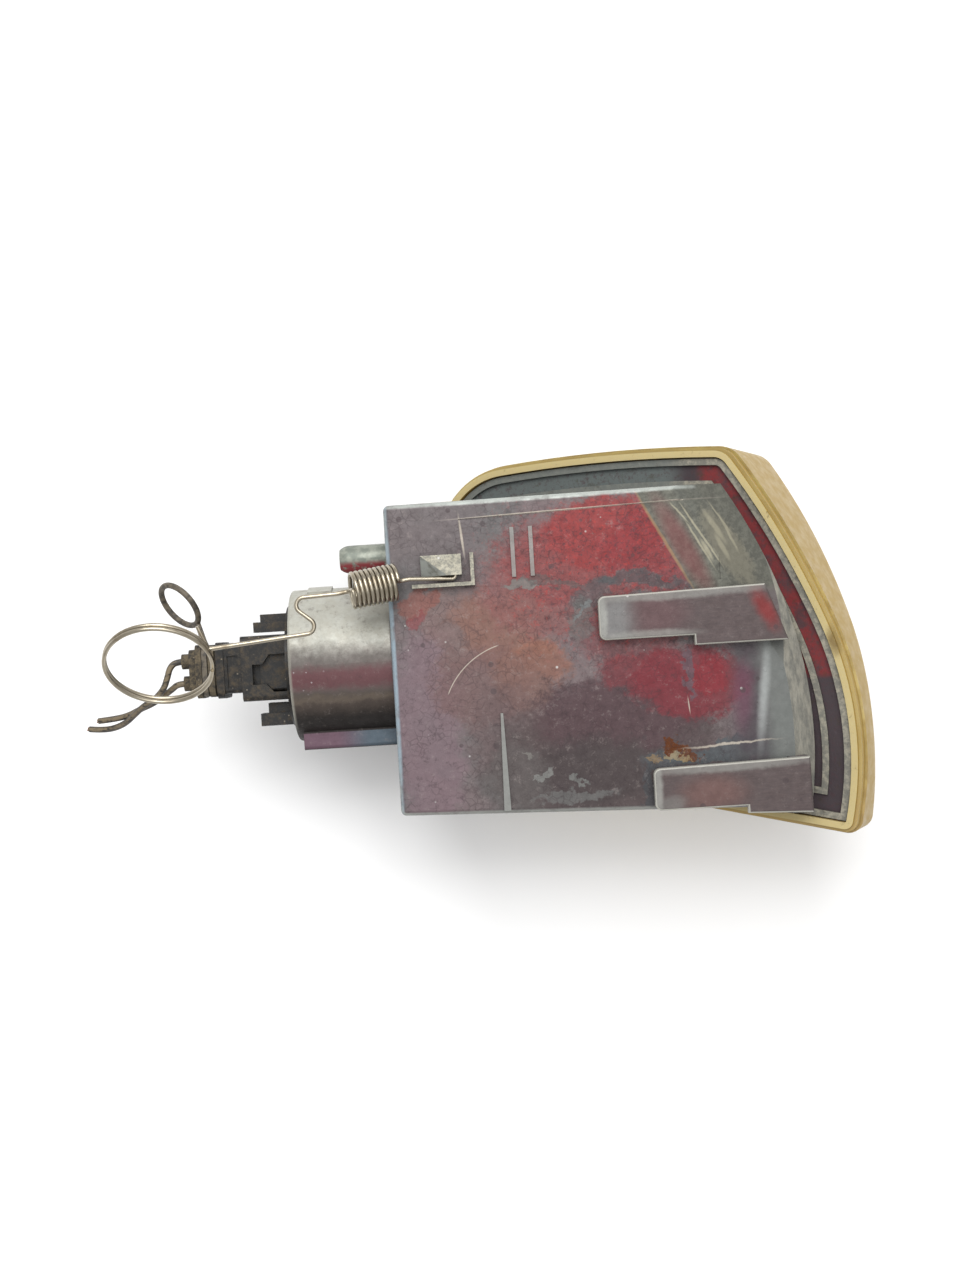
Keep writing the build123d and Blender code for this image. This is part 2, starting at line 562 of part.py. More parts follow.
def make_ring():
    """Arm with its two bends and the cut tip, and the finger ring of two turns that it carries."""
    start = COIL_END + COIL_AXIS * STUB
    tilt = radians(RING_TILT)
    normal = Vector(0, -sin(tilt), cos(tilt))
    along_x, along_y = Vector(1, 0, 0), Vector(0, cos(tilt), sin(tilt))

    def outward(degrees):
        return along_x * cos(radians(degrees)) + along_y * sin(radians(degrees))
    join = RING_MIDDLE + outward(RING_JOIN) * RING_R
    tip = join + Vector(-2.6, 6.9, 2.0)
    arm, _ = tube([start, start + COIL_AXIS * 2.5, Vector(-30.3, 20.0, 81.4), Vector(-18.3, 10.0, 80.9),
                   join, tip], WIRE_R, [4.0, 2.3, 2.3, 1.0])
    plane = Plane(origin=RING_MIDDLE, x_dir=outward(RING_JOIN - 1.5), z_dir=normal)
    return arm + helix_tube(plane, RING_PITCH, RING_TURNS, RING_R, WIRE_R)


# ---------------------------------------------------------------- all nodes
def make_nodes():
    nodes = {
        "housing": make_housing(),
        "lens": make_lens(),
        "lens_sealant": make_sealant(),
        "reflector": make_reflector(),
        "bulb_glass": make_bulb_glass(),
        "bulb_cap": make_bulb_cap(),
        "bulb_stem": make_bulb_stem(),
        "bulb_filament": make_filament(),
        "bulb_supports": make_supports(),
        "bulb_insulator": make_insulator(),
        "bulb_contact": make_contact(),
        "holder_body": make_holder(),
        "holder_seal": make_holder_seal(),
        "socket_sleeve": make_sleeve(),
        "plunger": make_plunger(),
        "contact_spring": make_contact_spring(),
        "blade_live": make_blade(1),
        "blade_earth": make_blade(-1),
        "connector_body": make_plug(),
        "connector_collar": make_collar(),
        "connector_boot": make_boot(),
        "tie_loop": make_tie_loop(),
        "terminal_live": make_terminal(1),
        "terminal_earth": make_terminal(-1),
        "spring_hook": make_hook(),
        "spring_coil": make_coil(),
        "pull_ring": make_ring(),
    }
    return nodes


def main():
    os.makedirs("parts", exist_ok=True)
    nodes = make_nodes()
    boxes = [body.bounding_box() for body in nodes.values()]
    low = [min(getattr(box.min, axis) for box in boxes) for axis in "XYZ"]
    high = [max(getattr(box.max, axis) for box in boxes) for axis in "XYZ"]
    shift = Vector(-(low[0] + high[0]) / 2, -(low[1] + high[1]) / 2, -low[2])
    print("box", [round(v, 2) for v in low], [round(v, 2) for v in high], "shift", shift)
    for name, points in (("wire_live", LEAD_LIVE), ("wire_earth", LEAD_EARTH)):
        body, length, radii = make_lead(points)
        section = pi * LEAD_R ** 2
        print(name, "length", round(length, 2), "volume ratio", round(body.volume / (section * length), 4),
              "radii", [round(r, 1) for r in radii])
        nodes[name] = body
    for name, body in nodes.items():
        export_step(Pos(*shift) * body, f"parts/{name}.step")
    return nodes, shift


NODES, SHIFT = main()
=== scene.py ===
import bpy
from math import atan2, cos, degrees, hypot, pi, radians, sin
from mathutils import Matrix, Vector


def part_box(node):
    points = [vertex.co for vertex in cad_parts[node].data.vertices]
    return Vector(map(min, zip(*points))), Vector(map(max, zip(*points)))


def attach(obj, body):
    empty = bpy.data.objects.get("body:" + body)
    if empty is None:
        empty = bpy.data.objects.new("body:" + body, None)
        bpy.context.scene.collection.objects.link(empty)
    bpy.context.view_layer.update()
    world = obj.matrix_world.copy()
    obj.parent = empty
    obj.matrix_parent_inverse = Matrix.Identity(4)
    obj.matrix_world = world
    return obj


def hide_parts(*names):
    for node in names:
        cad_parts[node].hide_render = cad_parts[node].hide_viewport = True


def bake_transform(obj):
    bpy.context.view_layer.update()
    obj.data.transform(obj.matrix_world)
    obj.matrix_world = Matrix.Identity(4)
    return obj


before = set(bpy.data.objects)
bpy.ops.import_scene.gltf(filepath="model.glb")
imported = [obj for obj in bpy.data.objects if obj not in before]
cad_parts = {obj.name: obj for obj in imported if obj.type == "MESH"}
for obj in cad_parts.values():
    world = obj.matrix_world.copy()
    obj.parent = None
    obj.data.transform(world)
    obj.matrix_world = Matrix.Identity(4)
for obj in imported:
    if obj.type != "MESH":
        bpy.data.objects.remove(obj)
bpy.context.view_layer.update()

# Corner turn signal lamp lying on its lens. The datum is the point that the CAD model was drawn
# from: the rear wall in X, the bulb axis in Y and the table in Z. Distances are in metres, and
# patterns inside materials are in millimetres from the datum.
MM = 0.001
TUBE_LENGTH = 31.6 * MM          # rear tube, from the rear wall to its mouth
GLASS_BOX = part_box("bulb_glass")
DATUM = Vector((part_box("housing")[0].x + TUBE_LENGTH, (GLASS_BOX[0].y + GLASS_BOX[1].y) / 2, 0.0))

# Rim plane of the lens and the flange; the point is in millimetres from the datum
RIM_TILT = radians(27.0)
RIM_NORMAL = (-sin(RIM_TILT), 0.0, cos(RIM_TILT))
RIM_POINT = (22.0, 0.0, 12.0)

# Places on the housing that bound its patterns, in millimetres from the datum
FACE_TOP = 72.0                  # height of the inboard face
TONGUE_TOP = 77.3                # height of the tongues
TONGUE_START = 60.0              # both tongues lie beyond this x
CATCH_END = 30.0                 # the catch lies before this x
PIN_SIDE = 25.0                  # behind the rear wall, the pin lies above this y and the tube below it

# Camera, which looks straight down
CAMERA_HEIGHT = 0.552
CAMERA_X, CAMERA_Y = 0.0268, 0.0046
CAMERA_TURN = radians(-3.5)
CAMERA_LENS = 45.0

# Studio: place, size and power of each soft box
SOFT_BOXES = {"key": ((-0.10, 0.75, 1.25), 0.9, 17.0), "overhead": ((0.25, 0.05, 1.5), 1.2, 9.0)}
LIGHT_TARGET = Vector((0.02, 0.0, 0.04))
WORLD_STRENGTH = 0.62
FLOOR_HALF = 3.0                 # half the side of the square floor
STUDIO_LIGHT = 1.45              # brightness of a white surface that faces up
DULLING = 0.2                    # darkening of the box, flange and tongues, which shine a little

# Leads, the same routes as in the CAD model, from the datum
LEAD_DIAMETER = 0.002
LEAD_ROUTES = {
    "live": (0.0499, [
        (-0.0676, 0.0034, 0.0458), (-0.0699, 0.0034, 0.0458), (-0.0717, 0.0017, 0.0460),
        (-0.0726, -0.0012, 0.0458), (-0.0742, -0.0049, 0.0448), (-0.0776, -0.0079, 0.0426),
        (-0.0819, -0.0099, 0.0399), (-0.0858, -0.0127, 0.0366), (-0.0896, -0.0154, 0.0330),
        (-0.0944, -0.0170, 0.0294), (-0.0994, -0.0173, 0.0266), (-0.1032, -0.0169, 0.0252)]),
    "earth": (0.0380, [
        (-0.0676, -0.0036, 0.0436), (-0.0699, -0.0036, 0.0436), (-0.0719, -0.0051, 0.0426),
        (-0.0754, -0.0072, 0.0406), (-0.0792, -0.0094, 0.0380), (-0.0840, -0.0110, 0.0354),
        (-0.0886, -0.0130, 0.0328), (-0.0940, -0.0139, 0.0299), (-0.0994, -0.0143, 0.0275)]),
}
STRANDS, STRAND_R, STRAND_REACH = 7, 0.00016, 0.0011
STRAND_INSET = 0.001             # how far the strands start inside the sleeve
STRAND_SPREAD = 0.00042          # how far the outer strands lie from the middle one

# Tension spring, the same as in the CAD model
WIRE_R = 0.00065
COIL_R, COIL_TURNS, COIL_PITCH = 0.0050, 10, 0.00138
COIL_MIDDLE = Vector((-0.0036, 0.02235, 0.0794))
COIL_RISE, COIL_YAW = radians(11.0), radians(8.4)
COIL_STUB = 0.002                # straight end of the coil on its axis
HELIX_STEPS = 24                 # points to a turn

# Contact spring inside the bulb holder
CONTACT_SPRING_START = (-0.0302, 0.0, 0.045)
CONTACT_R, CONTACT_WIRE_R, CONTACT_PITCH, CONTACT_TURNS = 0.0023, 0.0002, 0.00114, 5


def at(x, y, z):
    """A point given in metres from the datum, in the row frame."""
    return DATUM + Vector((x, y, z))


# ---------------------------------------------------------------- shader toolkit
def linear(share):
    """Linear value of an sRGB value, both from 0 to 1."""
    return share / 12.92 if share <= 0.04045 else ((share + 0.055) / 1.055) ** 2.4


def rgb(red, green, blue):
    """Linear base colour of a surface that looks like this sRGB triple in the studio's light."""
    return (*(linear(value / 255) / STUDIO_LIGHT for value in (red, green, blue)), 1.0)


BLACK = rgb(0, 0, 0)


class Paint:
    """A material's node tree, with one short call for each kind of node that recurs."""

    def __init__(self, name, **sockets):
        self.material = bpy.data.materials.new(name)
        self.material.use_nodes = True
        self.tree = self.material.node_tree
        self.shader = self.tree.nodes["Principled BSDF"]
        coords = self.node("ShaderNodeTexCoord")
        self.place = self.scaled(self.vector("SUBTRACT", coords.outputs["Object"], tuple(DATUM)), 1 / MM)
        axes = ((1.0, 0.0, 0.0), (0.0, 1.0, 0.0), (0.0, 0.0, 1.0))
        self.x, self.y, self.z = (self.vector("DOT_PRODUCT", self.place, axis) for axis in axes)
        self.facing_x, self.facing_z = (self.vector("DOT_PRODUCT", coords.outputs["Normal"], axis)
                                        for axis in (axes[0], axes[2]))
        for key, value in sockets.items():
            self.put(key.replace("_", " "), value)

    def put(self, socket, value):
        """Sets a socket of the shader to a value, or links it."""
        if isinstance(value, bpy.types.NodeSocket):
            self.tree.links.new(value, self.shader.inputs[socket])
        else:
            self.shader.inputs[socket].default_value = value

    def node(self, kind, values=None, **settings):
        """A new node with its settings, and its inputs set or linked."""
        node = self.tree.nodes.new(kind)
        for key, value in settings.items():
            setattr(node, key, value)
        for key, value in (values or {}).items():
            if isinstance(value, bpy.types.NodeSocket):
                self.tree.links.new(value, node.inputs[key])
            else:
                node.inputs[key].default_value = value
        return node

    def math(self, operation, a, b=0.0):
        """Output of a Math node."""
        return self.node("ShaderNodeMath", {0: a, 1: b}, operation=operation).outputs[0]

    def vector(self, operation, a, b=(0.0, 0.0, 0.0)):
        """Output of a Vector Math node: a number for lengths and dot products, else a vector."""
        node = self.node("ShaderNodeVectorMath", {0: a, 1: b}, operation=operation)
        return node.outputs["Value" if operation in ("LENGTH", "DOT_PRODUCT") else "Vector"]

    def scaled(self, a, scale):
        """The vector times a number."""
        return self.node("ShaderNodeVectorMath", {0: a, "Scale": scale}, operation="SCALE").outputs["Vector"]

    def ramp(self, value, low, high, to_low=0.0, to_high=1.0):
        """Smooth step of value from low to high."""
        return self.node("ShaderNodeMapRange", {0: value, 1: low, 2: high, 3: to_low, 4: to_high},
                         interpolation_type="SMOOTHSTEP").outputs[0]

    def band(self, value, low, high, soft):
        """1 between low and high, 0 outside."""
        return self.both(self.ramp(value, low - soft, low + soft),
                         self.ramp(value, high - soft, high + soft, 1, 0))

    def both(self, *masks):
        """Product of the masks, of which some may be plain strengths."""
        product = masks[0]
        for mask in masks[1:]:
            product = self.math("MULTIPLY", product, mask)
        return product

    def over(self, below, above, mask):
        """The colour above laid over the colour below where the mask is 1."""
        node = self.node("ShaderNodeMix", {0: mask, 6: below, 7: above}, data_type="RGBA")
        return node.outputs[2]

    def mapped(self, place, scale, shift=(0.0, 0.0, 0.0)):
        """The place scaled to the cells of a pattern, then shifted by that many cells."""
        values = {"Vector": place, "Location": shift, "Scale": scale}
        return self.node("ShaderNodeMapping", values).outputs[0]

    def noise(self, size, detail=3.0, rough=0.55, stretch=(1.0, 1.0, 1.0), shift=0.0):
        """Cloudy noise, size in millimetres; stretch makes it longer along an axis."""
        place = self.mapped(self.place, tuple(1 / (size * factor) for factor in stretch), (shift, 0.0, 0.0))
        values = {"Vector": place, "Scale": 1.0, "Detail": detail, "Roughness": rough}
        return self.node("ShaderNodeTexNoise", values).outputs[0]

    def specks(self, spacing, size, shift=0.0):
        """Scattered dots of uneven size, the largest with that share of the spacing as radius."""
        place = self.mapped(self.place, (1 / spacing,) * 3, (shift, shift, 0.0))
        cells = self.node("ShaderNodeTexVoronoi", {"Vector": place, "Scale": 1.0})
        chance = self.node("ShaderNodeSeparateColor", {0: cells.outputs["Color"]}).outputs[0]
        reach = self.ramp(chance, 0.55, 1.0, 0.0, size)
        return self.ramp(self.math("SUBTRACT", reach, cells.outputs["Distance"]), 0.0, 0.06)

    def crackle(self, size, width):
        """Fine net of lines between cells of that size in millimetres."""
        place = self.mapped(self.warped(1.5, 1.2), (1 / size,) * 3)
        cells = self.node("ShaderNodeTexVoronoi", {"Vector": place, "Scale": 1.0}, feature="DISTANCE_TO_EDGE")
        return self.ramp(cells.outputs["Distance"], width, 0.0)

    def wander(self, cloud, amount):
        """Shift of up to half the amount either way, by a cloud."""
        return self.math("MULTIPLY", self.math("SUBTRACT", cloud, 0.5), amount)

    def broken(self, mask, cloud, amount):
        """The mask with its soft edge broken up by a cloud."""
        return self.ramp(self.math("ADD", mask, self.wander(cloud, amount)), 0.25, 0.75)

    def warped(self, coarse, fine):
        """The place, moved about by clouds of the two strengths, so that patches have ragged edges."""
        shifts = []
        for seed in (0.0, 90.0):
            wide = self.wander(self.noise(14.0, 4.0, 0.65, shift=seed), coarse)
            close = self.wander(self.noise(2.2, 4.0, 0.65, shift=seed), fine)
            shifts.append(self.math("ADD", wide, close))
        shift = self.node("ShaderNodeCombineXYZ", {0: shifts[0], 1: shifts[1]}).outputs[0]
        return self.vector("ADD", self.place, shift)

    def patch(self, place, centre, size, turn=0.0, soft=0.4):
        """An ellipse as seen from above, turned by that many degrees, with a soft edge."""
        along, across = cos(radians(turn)), sin(radians(turn))
        squares = 0.0
        for (ax, ay), half in (((along, across), size[0]), ((-across, along), size[1])):
            middle = (centre[0] * ax + centre[1] * ay) / half
            along_axis = self.vector("DOT_PRODUCT", place, (ax / half, ay / half, 0.0))
            off = self.math("SUBTRACT", along_axis, middle)
            square = self.node("ShaderNodeMath", {0: off, 1: off, 2: squares}, operation="MULTIPLY_ADD")
            squares = square.outputs[0]
        return self.ramp(self.math("SQRT", squares), 1 - soft, 1 + soft, 1.0, 0.0)

    def stroke(self, start, end, width, place=None):
        """A thin straight line as seen from above, tapered at its ends."""
        run = (end[0] - start[0], end[1] - start[1])
        centre = ((start[0] + end[0]) / 2, (start[1] + end[1]) / 2)
        return self.patch(place or self.place, centre, (hypot(*run) / 2, width / 2),
                          degrees(atan2(run[1], run[0])), 0.5)

    def beyond(self, place, point, direction, soft):
        """1 on the far side of a line through point, as seen from above; direction in degrees."""
        way = (cos(radians(direction)), sin(radians(direction)), 0.0)
        distance = self.vector("DOT_PRODUCT", self.vector("SUBTRACT", place, (*point, 0.0)), way)
        return self.ramp(distance, -soft, soft)

    def depth(self):
        """Height over the rim plane, in millimetres."""
        return self.vector("DOT_PRODUCT", self.vector("SUBTRACT", self.place, RIM_POINT), RIM_NORMAL)

    def bump(self, *layers):
        """Bumps on the surface, given as layers of (height, millimetres)."""
        normal = None
        for height, distance in layers:
            values = {"Height": height, "Distance": distance * MM, "Strength": 1.0}
            if normal:
                values["Normal"] = normal
            normal = self.node("ShaderNodeBump", values).outputs[0]
        self.put("Normal", normal)


# ---------------------------------------------------------------- materials
def grain(paint, colour, strength):
    """Fine dark and light speckle of the dull skin."""
    cloud = paint.noise(2.6, 8.0, 0.85, shift=50.0)
    colour = paint.over(colour, rgb(70, 60, 62), paint.both(paint.ramp(cloud, 0.52, 0.68), strength))
    return paint.over(colour, rgb(178, 166, 162), paint.both(paint.ramp(cloud, 0.46, 0.34), strength * 0.6))


# Stains of the inboard face, in the order they lie: colour, centre, half sizes, turn, softness, strength
FACE_STAINS = [
    ((140, 117, 125), (9, -24), (11, 32), 0, 0.7, 0.7),
    ((124, 116, 117), (12, 38), (18, 13), 0, 0.7, 0.8),
    ((140, 112, 108), (24, 8), (17, 12), -30, 0.7, 0.6),
    ((148, 110, 98), (34, 6), (17, 10), -38, 0.7, 0.8),
    ((160, 108, 88), (45, -3), (8, 6), -40, 0.7, 0.6),
    ((150, 114, 100), (41, 14), (9, 6), -30, 0.7, 0.6),
    ((128, 100, 98), (27, -9), (15, 12), 0, 0.7, 0.7),
    ((142, 106, 96), (40, -9), (10, 9), -30, 0.7, 0.7),
    ((116, 96, 96), (34, -24), (12, 14), 0, 0.7, 0.6),
    ((92, 80, 80), (62, -34), (36, 23), 8, 0.6, 0.9),
    ((96, 74, 78), (68, -19), (26, 12), 0, 0.6, 0.8),
    ((80, 72, 72), (58, -37), (18, 11), 0, 0.6, 0.7),
    ((112, 108, 106), (35, -38), (9, 12), 0, 0.8, 0.5),
    ((146, 98, 96), (50, 19), (22, 15), 0, 0.6, 0.8),
    ((150, 82, 82), (60, 28), (26, 15), 0, 0.5, 0.8),
    ((160, 70, 70), (66, 35), (21, 10), 0, 0.5, 0.85),
    ((150, 62, 66), (79, 27), (14, 12), -25, 0.5, 0.7),
    ((132, 68, 72), (72, 3), (15, 10), 0, 0.7, 0.6),
    ((130, 62, 68), (75, -8), (14, 6), -8, 0.6, 0.75),
    ((134, 56, 64), (90, -12), (17, 11), 0, 0.45, 0.85),
    ((146, 50, 58), (96, -9), (8, 5), 0, 0.6, 0.7),
    ((160, 96, 84), (9, 17), (6, 3), 20, 0.6, 0.6),
    ((150, 72, 76), (8, 12), (3, 2.4), 30, 0.6, 0.6),
]
# Grey, dirty and light marks that lie on the stains
FACE_MARKS = [
    ((94, 98, 100), (61, 17), (8, 4.5), 25, 0.5, 0.7),
    ((86, 92, 94), (76, 19.5), (13, 2.6), -4, 0.5, 0.75),
    ((110, 114, 112), (58, 9), (3.0, 8), 0, 0.5, 0.6),
    ((132, 134, 130), (41, 20.4), (6.5, 1.4), -4, 0.4, 0.8),
    ((128, 132, 132), (58.5, 11), (0.9, 5), -24, 0.6, 0.8),
    ((104, 100, 98), (49, 21), (10, 1.0), -4, 0.5, 0.6),
    ((98, 102, 110), (88, -8), (1.4, 7), 4, 0.6, 0.6),
    ((90, 98, 102), (98, -32.5), (16, 2.6), 2, 0.5, 0.8),
    ((92, 100, 104), (80, -34), (9, 3.0), 4, 0.5, 0.6),
    ((82, 86, 90), (74.5, -43), (2.2, 8), 0, 0.5, 0.7),
    ((104, 56, 22), (83.5, -30.4), (3.8, 1.5), -14, 0.4, 1.0),
    ((110, 62, 28), (88.5, -32.2), (2.4, 1.5), -40, 0.5, 0.9),
    ((176, 158, 122), (85, -32.8), (4.5, 0.8), -8, 0.5, 0.7),
    ((160, 134, 96), (76, -33.6), (4.0, 0.7), 4, 0.6, 0.6),
    ((136, 138, 136), (52, -44), (12, 1.8), 4, 0.6, 0.45),
    ((160, 162, 158), (43, -36.5), (2.4, 1.0), 20, 0.5, 0.55),
    ((150, 154, 150), (54, -38.5), (3.0, 0.8), -30, 0.5, 0.5),
    ((150, 148, 142), (38, -31), (1.8, 0.5), -30, 0.6, 0.5),
]


def face_colour(paint):
    """The stained inboard face, as seen from above."""
    place = paint.warped(14.0, 5.0)
    cloud = paint.noise(3.2, 8.0, 0.85, shift=3.0)
    colour = paint.over(rgb(132, 118, 119), rgb(120, 117, 117), paint.ramp(paint.noise(16.0), 0.35, 0.65))
    for stain, centre, size, turn, soft, strength in FACE_STAINS:
        mask = paint.broken(paint.patch(place, centre, size, turn, soft), cloud, 1.2)
        colour = paint.over(colour, rgb(*stain), paint.both(mask, strength))
    red_area = paint.patch(place, (66, 24), (34, 26), 0, 0.5)
    deep = paint.ramp(paint.noise(1.5, 5.0, 0.75, shift=9.0), 0.50, 0.64)
    colour = paint.over(colour, rgb(84, 62, 68), paint.both(deep, red_area, 0.6))
    bright = paint.ramp(paint.noise(1.7, 5.0, 0.75, shift=31.0), 0.53, 0.68)
    colour = paint.over(colour, rgb(196, 70, 62), paint.both(bright, red_area, 0.55))
    for mark, centre, size, turn, soft, strength in FACE_MARKS:
        mask = paint.broken(paint.patch(place, centre, size, turn, soft), cloud, 1.1)
        colour = paint.over(colour, rgb(*mark), paint.both(mask, strength))
    crazed = paint.ramp(paint.noise(9.0, 3.0, 0.6, shift=61.0), 0.40, 0.60)
    net = paint.both(paint.crackle(2.4, 0.09), crazed, 0.34)
    return paint.over(grain(paint, colour, 0.55), rgb(64, 52, 56), net)


# Worn lines that run down the facet: start, end, width
FACET_LINES = [
    ((86.5, 42.0), (91.2, 36.3), 0.5),
    ((90.8, 36.0), (98.0, 22.9), 0.6),
    ((93.0, 36.0), (100.5, 23.0), 0.6),
    ((96.5, 39.2), (102.2, 30.0), 1.6),
    ((99.5, 32.0), (103.0, 24.5), 1.4),
    ((89.5, 41.5), (95.0, 32.0), 0.5),
    ((98.5, 41.5), (104.0, 33.0), 0.5),
    ((101.5, 37.0), (106.0, 27.0), 0.8),
    ((95.0, 30.5), (98.0, 24.5), 1.2),
]


def facet(paint, colour, wavy):
    """The streaky grey facet at the upper front corner of the face, with a brown line along its edge."""
    cloud = paint.noise(1.8, 5.0, 0.75, shift=40.0)
    plain = paint.over(rgb(104, 104, 96), rgb(124, 124, 114), paint.ramp(cloud, 0.4, 0.6))
    dusty = paint.broken(paint.patch(paint.place, (103, 28), (4.5, 13), 31, 0.7), cloud, 1.3)
    plain = paint.over(plain, rgb(158, 152, 132), paint.both(dusty, 0.5))
    reddish = paint.patch(paint.place, (89.5, 29), (3, 15), 27, 0.6)
    plain = paint.over(plain, rgb(136, 76, 78), paint.both(reddish, 0.6))
    for start, end, width in FACET_LINES:
        line = paint.stroke(start, end, width, wavy)
        plain = paint.over(plain, rgb(186, 180, 156), paint.both(line, 0.75))
    inside = paint.both(paint.beyond(paint.place, (84, 30.5), 27.5, 0.35), paint.ramp(paint.y, 13.0, 17.0))
    colour = paint.over(colour, plain, inside)
    border = paint.stroke((76, 46), (91.5, 16.5), 0.9, wavy)
    return paint.over(colour, rgb(176, 140, 104), paint.both(border, 0.6))


def hollow(paint, colour, wavy):
    """Darker grey where a hollow below the upper tongue would be, on a surface that has no hollow: partly the
    plastic's grey and partly painted shade, with its pale front edge and a painted highlight down it.
    """
    below = paint.ramp(paint.y, 2.0, -2.0)
    # Painted shade where the hollow would be, partly the plastic's own grey.
    inside = paint.both(paint.beyond(paint.place, (101.5, -10), 0.0, 3.5), below)
    shade = paint.over(rgb(92, 90, 92), rgb(84, 76, 82), paint.ramp(paint.noise(9.0), 0.4, 0.6))
    shade = paint.over(shade, rgb(112, 76, 92), paint.patch(paint.place, (104, -17), (3.4, 9), -6, 0.6))
    colour = paint.over(colour, shade, paint.both(inside, 0.85))
    edge = paint.both(paint.beyond(wavy, (110.5, -10), 4.0, 3.0), below)
    colour = paint.over(colour, rgb(132, 136, 132), paint.both(edge, 0.8))
    # Painted highlight: a narrow sheen down the hollow's front.
    sheen = paint.patch(wavy, (110.8, -17), (1.2, 12), -7, 0.9)
    return paint.over(colour, rgb(190, 194, 192), paint.both(sheen, 0.7))


def front_slope(paint, colour):
    """The rough slope down to the flange at the front end, light grey with streaks: partly the slope's own
    colour and partly painted highlight.
    """
    slope = paint.both(paint.ramp(paint.facing_x, 0.30, 0.45), paint.ramp(paint.facing_x, 0.9, 0.8),
                       paint.ramp(paint.x, 94.0, 98.0))
    streaks = paint.noise(2.0, 6.0, 0.7, stretch=(1.0, 3.0, 1.0))
    # Light grey of the slope: partly its own colour, partly painted highlight.
    mottle = paint.over(rgb(148, 148, 142), rgb(204, 200, 186), paint.ramp(streaks, 0.30, 0.70))
    return paint.over(colour, mottle, slope)


def flange_colour(paint, colour):
    """The flange outside the box: red and purple land, light ledge, brown dirt."""
    depth = paint.depth()
    outside = paint.ramp(depth, 0.6, 0.2)
    patchy = paint.ramp(paint.noise(5.0, 5.0, 0.7, shift=77.0), 0.34, 0.60, 0.2, 1.0)
    red = paint.both(paint.ramp(paint.y, -14.0, -11.5), paint.ramp(paint.x, 97.0, 101.0), patchy)
    land = paint.over(rgb(88, 78, 82), rgb(150, 64, 66), red)
    top = paint.both(paint.ramp(paint.y, 46.0, 47.5), paint.ramp(paint.x, 96.0, 88.0))
    land = paint.over(land, rgb(122, 130, 128), top)
    flecks = paint.ramp(paint.noise(1.6, 5.0, 0.75), 0.50, 0.66)
    land = paint.over(land, rgb(96, 74, 78), paint.both(flecks, 0.6))
    flat = paint.both(outside, paint.band(depth, -2.6, -1.7, 0.2))
    colour = paint.over(colour, land, flat)
    pale = paint.ramp(paint.noise(2.0, 5.0, 0.7), 0.40, 0.65)
    ledge = paint.over(rgb(150, 148, 138), rgb(196, 190, 172), pale)
    ledge = paint.over(ledge, rgb(134, 140, 136), paint.both(top, 0.8))
    colour = paint.over(colour, ledge, paint.both(outside, paint.ramp(depth, -1.65, -1.45)))
    dirt = paint.ramp(paint.noise(3.0, 4.0, 0.7, shift=5.0), 0.55, 0.72)
    return paint.over(colour, rgb(86, 76, 62), paint.both(outside, dirt, 0.5))


def tube_colour(paint):
    """The rear tube, coloured by its side: pale above, a red band just past its crown, bronze to nearly black
    below. The pale crown is partly its own colour and partly painted highlight, the dark underside partly its
    own bronze and partly painted shade, and the light bronze band low down is a painted highlight.
    """
    cloud = paint.noise(4.0, 6.0, 0.72)
    ragged = paint.math("ADD", paint.y, paint.wander(cloud, 5.0))
    # Pale crown: partly the tube's own colour, partly painted highlight.
    colour = paint.over(rgb(196, 194, 182), rgb(206, 206, 196), paint.ramp(cloud, 0.35, 0.65))
    # Darker below the crown: partly the tube's own colour, partly painted shade.
    colour = paint.over(colour, rgb(112, 106, 102), paint.ramp(ragged, 9.5, 1.0))
    dull = paint.ramp(paint.noise(3.0, 6.0, 0.75), 0.52, 0.72)
    colour = paint.over(colour, rgb(100, 92, 88), paint.both(dull, 0.45))
    colour = paint.over(colour, rgb(114, 76, 80), paint.both(paint.band(ragged, -7.5, -1.0, 2.2), 0.9))
    # Bronze below the red band: partly the tube's own colour, partly painted shade.
    colour = paint.over(colour, rgb(92, 82, 76), paint.ramp(ragged, -7.0, -10.5))
    # Light bronze band low on the tube: a painted highlight.
    colour = paint.over(colour, rgb(124, 112, 100), paint.both(paint.band(ragged, -11.5, -9.5, 1.0), 0.6))
    # Near black underside: partly dark bronze, partly painted shade.
    colour = paint.over(colour, rgb(48, 44, 42), paint.ramp(ragged, -11.5, -17.0))
    near_mouth = paint.ramp(paint.x, -18.0, -26.0)
    chalk = paint.both(paint.specks(1.3, 0.30), paint.band(ragged, -8.0, 1.0, 2.0), near_mouth)
    colour = paint.over(colour, rgb(196, 186, 188), paint.both(chalk, 0.7))
    rib = paint.both(paint.ramp(paint.y, -20.9, -21.3), paint.ramp(paint.facing_z, 0.3, 0.8))
    slate = paint.over(rgb(112, 88, 100), rgb(90, 102, 112), paint.ramp(paint.x, -20.0, -8.0))
    colour = paint.over(colour, slate, rib)
    mouth = paint.both(paint.ramp(paint.x, -30.4, -31.2), paint.ramp(paint.y, -22.0, -14.0))
    return grain(paint, paint.over(colour, rgb(190, 188, 176), paint.both(mouth, 0.6)), 0.3)


def pin_colour(paint):
    """The locating pin: pale grey-green with a red stain along its lower side."""
    colour = paint.over(rgb(168, 172, 160), rgb(142, 148, 138), paint.ramp(paint.noise(2.5, 3.0), 0.4, 0.6))
    stain = paint.both(paint.ramp(paint.y, 31.5, 29.8), paint.ramp(paint.noise(1.6, 3.0), 0.30, 0.5))
    return paint.over(colour, rgb(158, 72, 76), stain)


# Painted highlights along the rounded edges on top of the tongues: start, end, strength
TONGUE_EDGE_HIGHLIGHTS = [
    ((62.5, 14.2), (112.0, 15.4), 0.5),
    ((76.0, -37.8), (122.0, -36.8), 0.5),
    ((63.4, 1.0), (63.4, 16.5), 0.8),
    ((76.8, -51.0), (76.8, -35.5), 0.7),
    ((63.0, 3.0), (90.0, 3.0), 0.5),
]
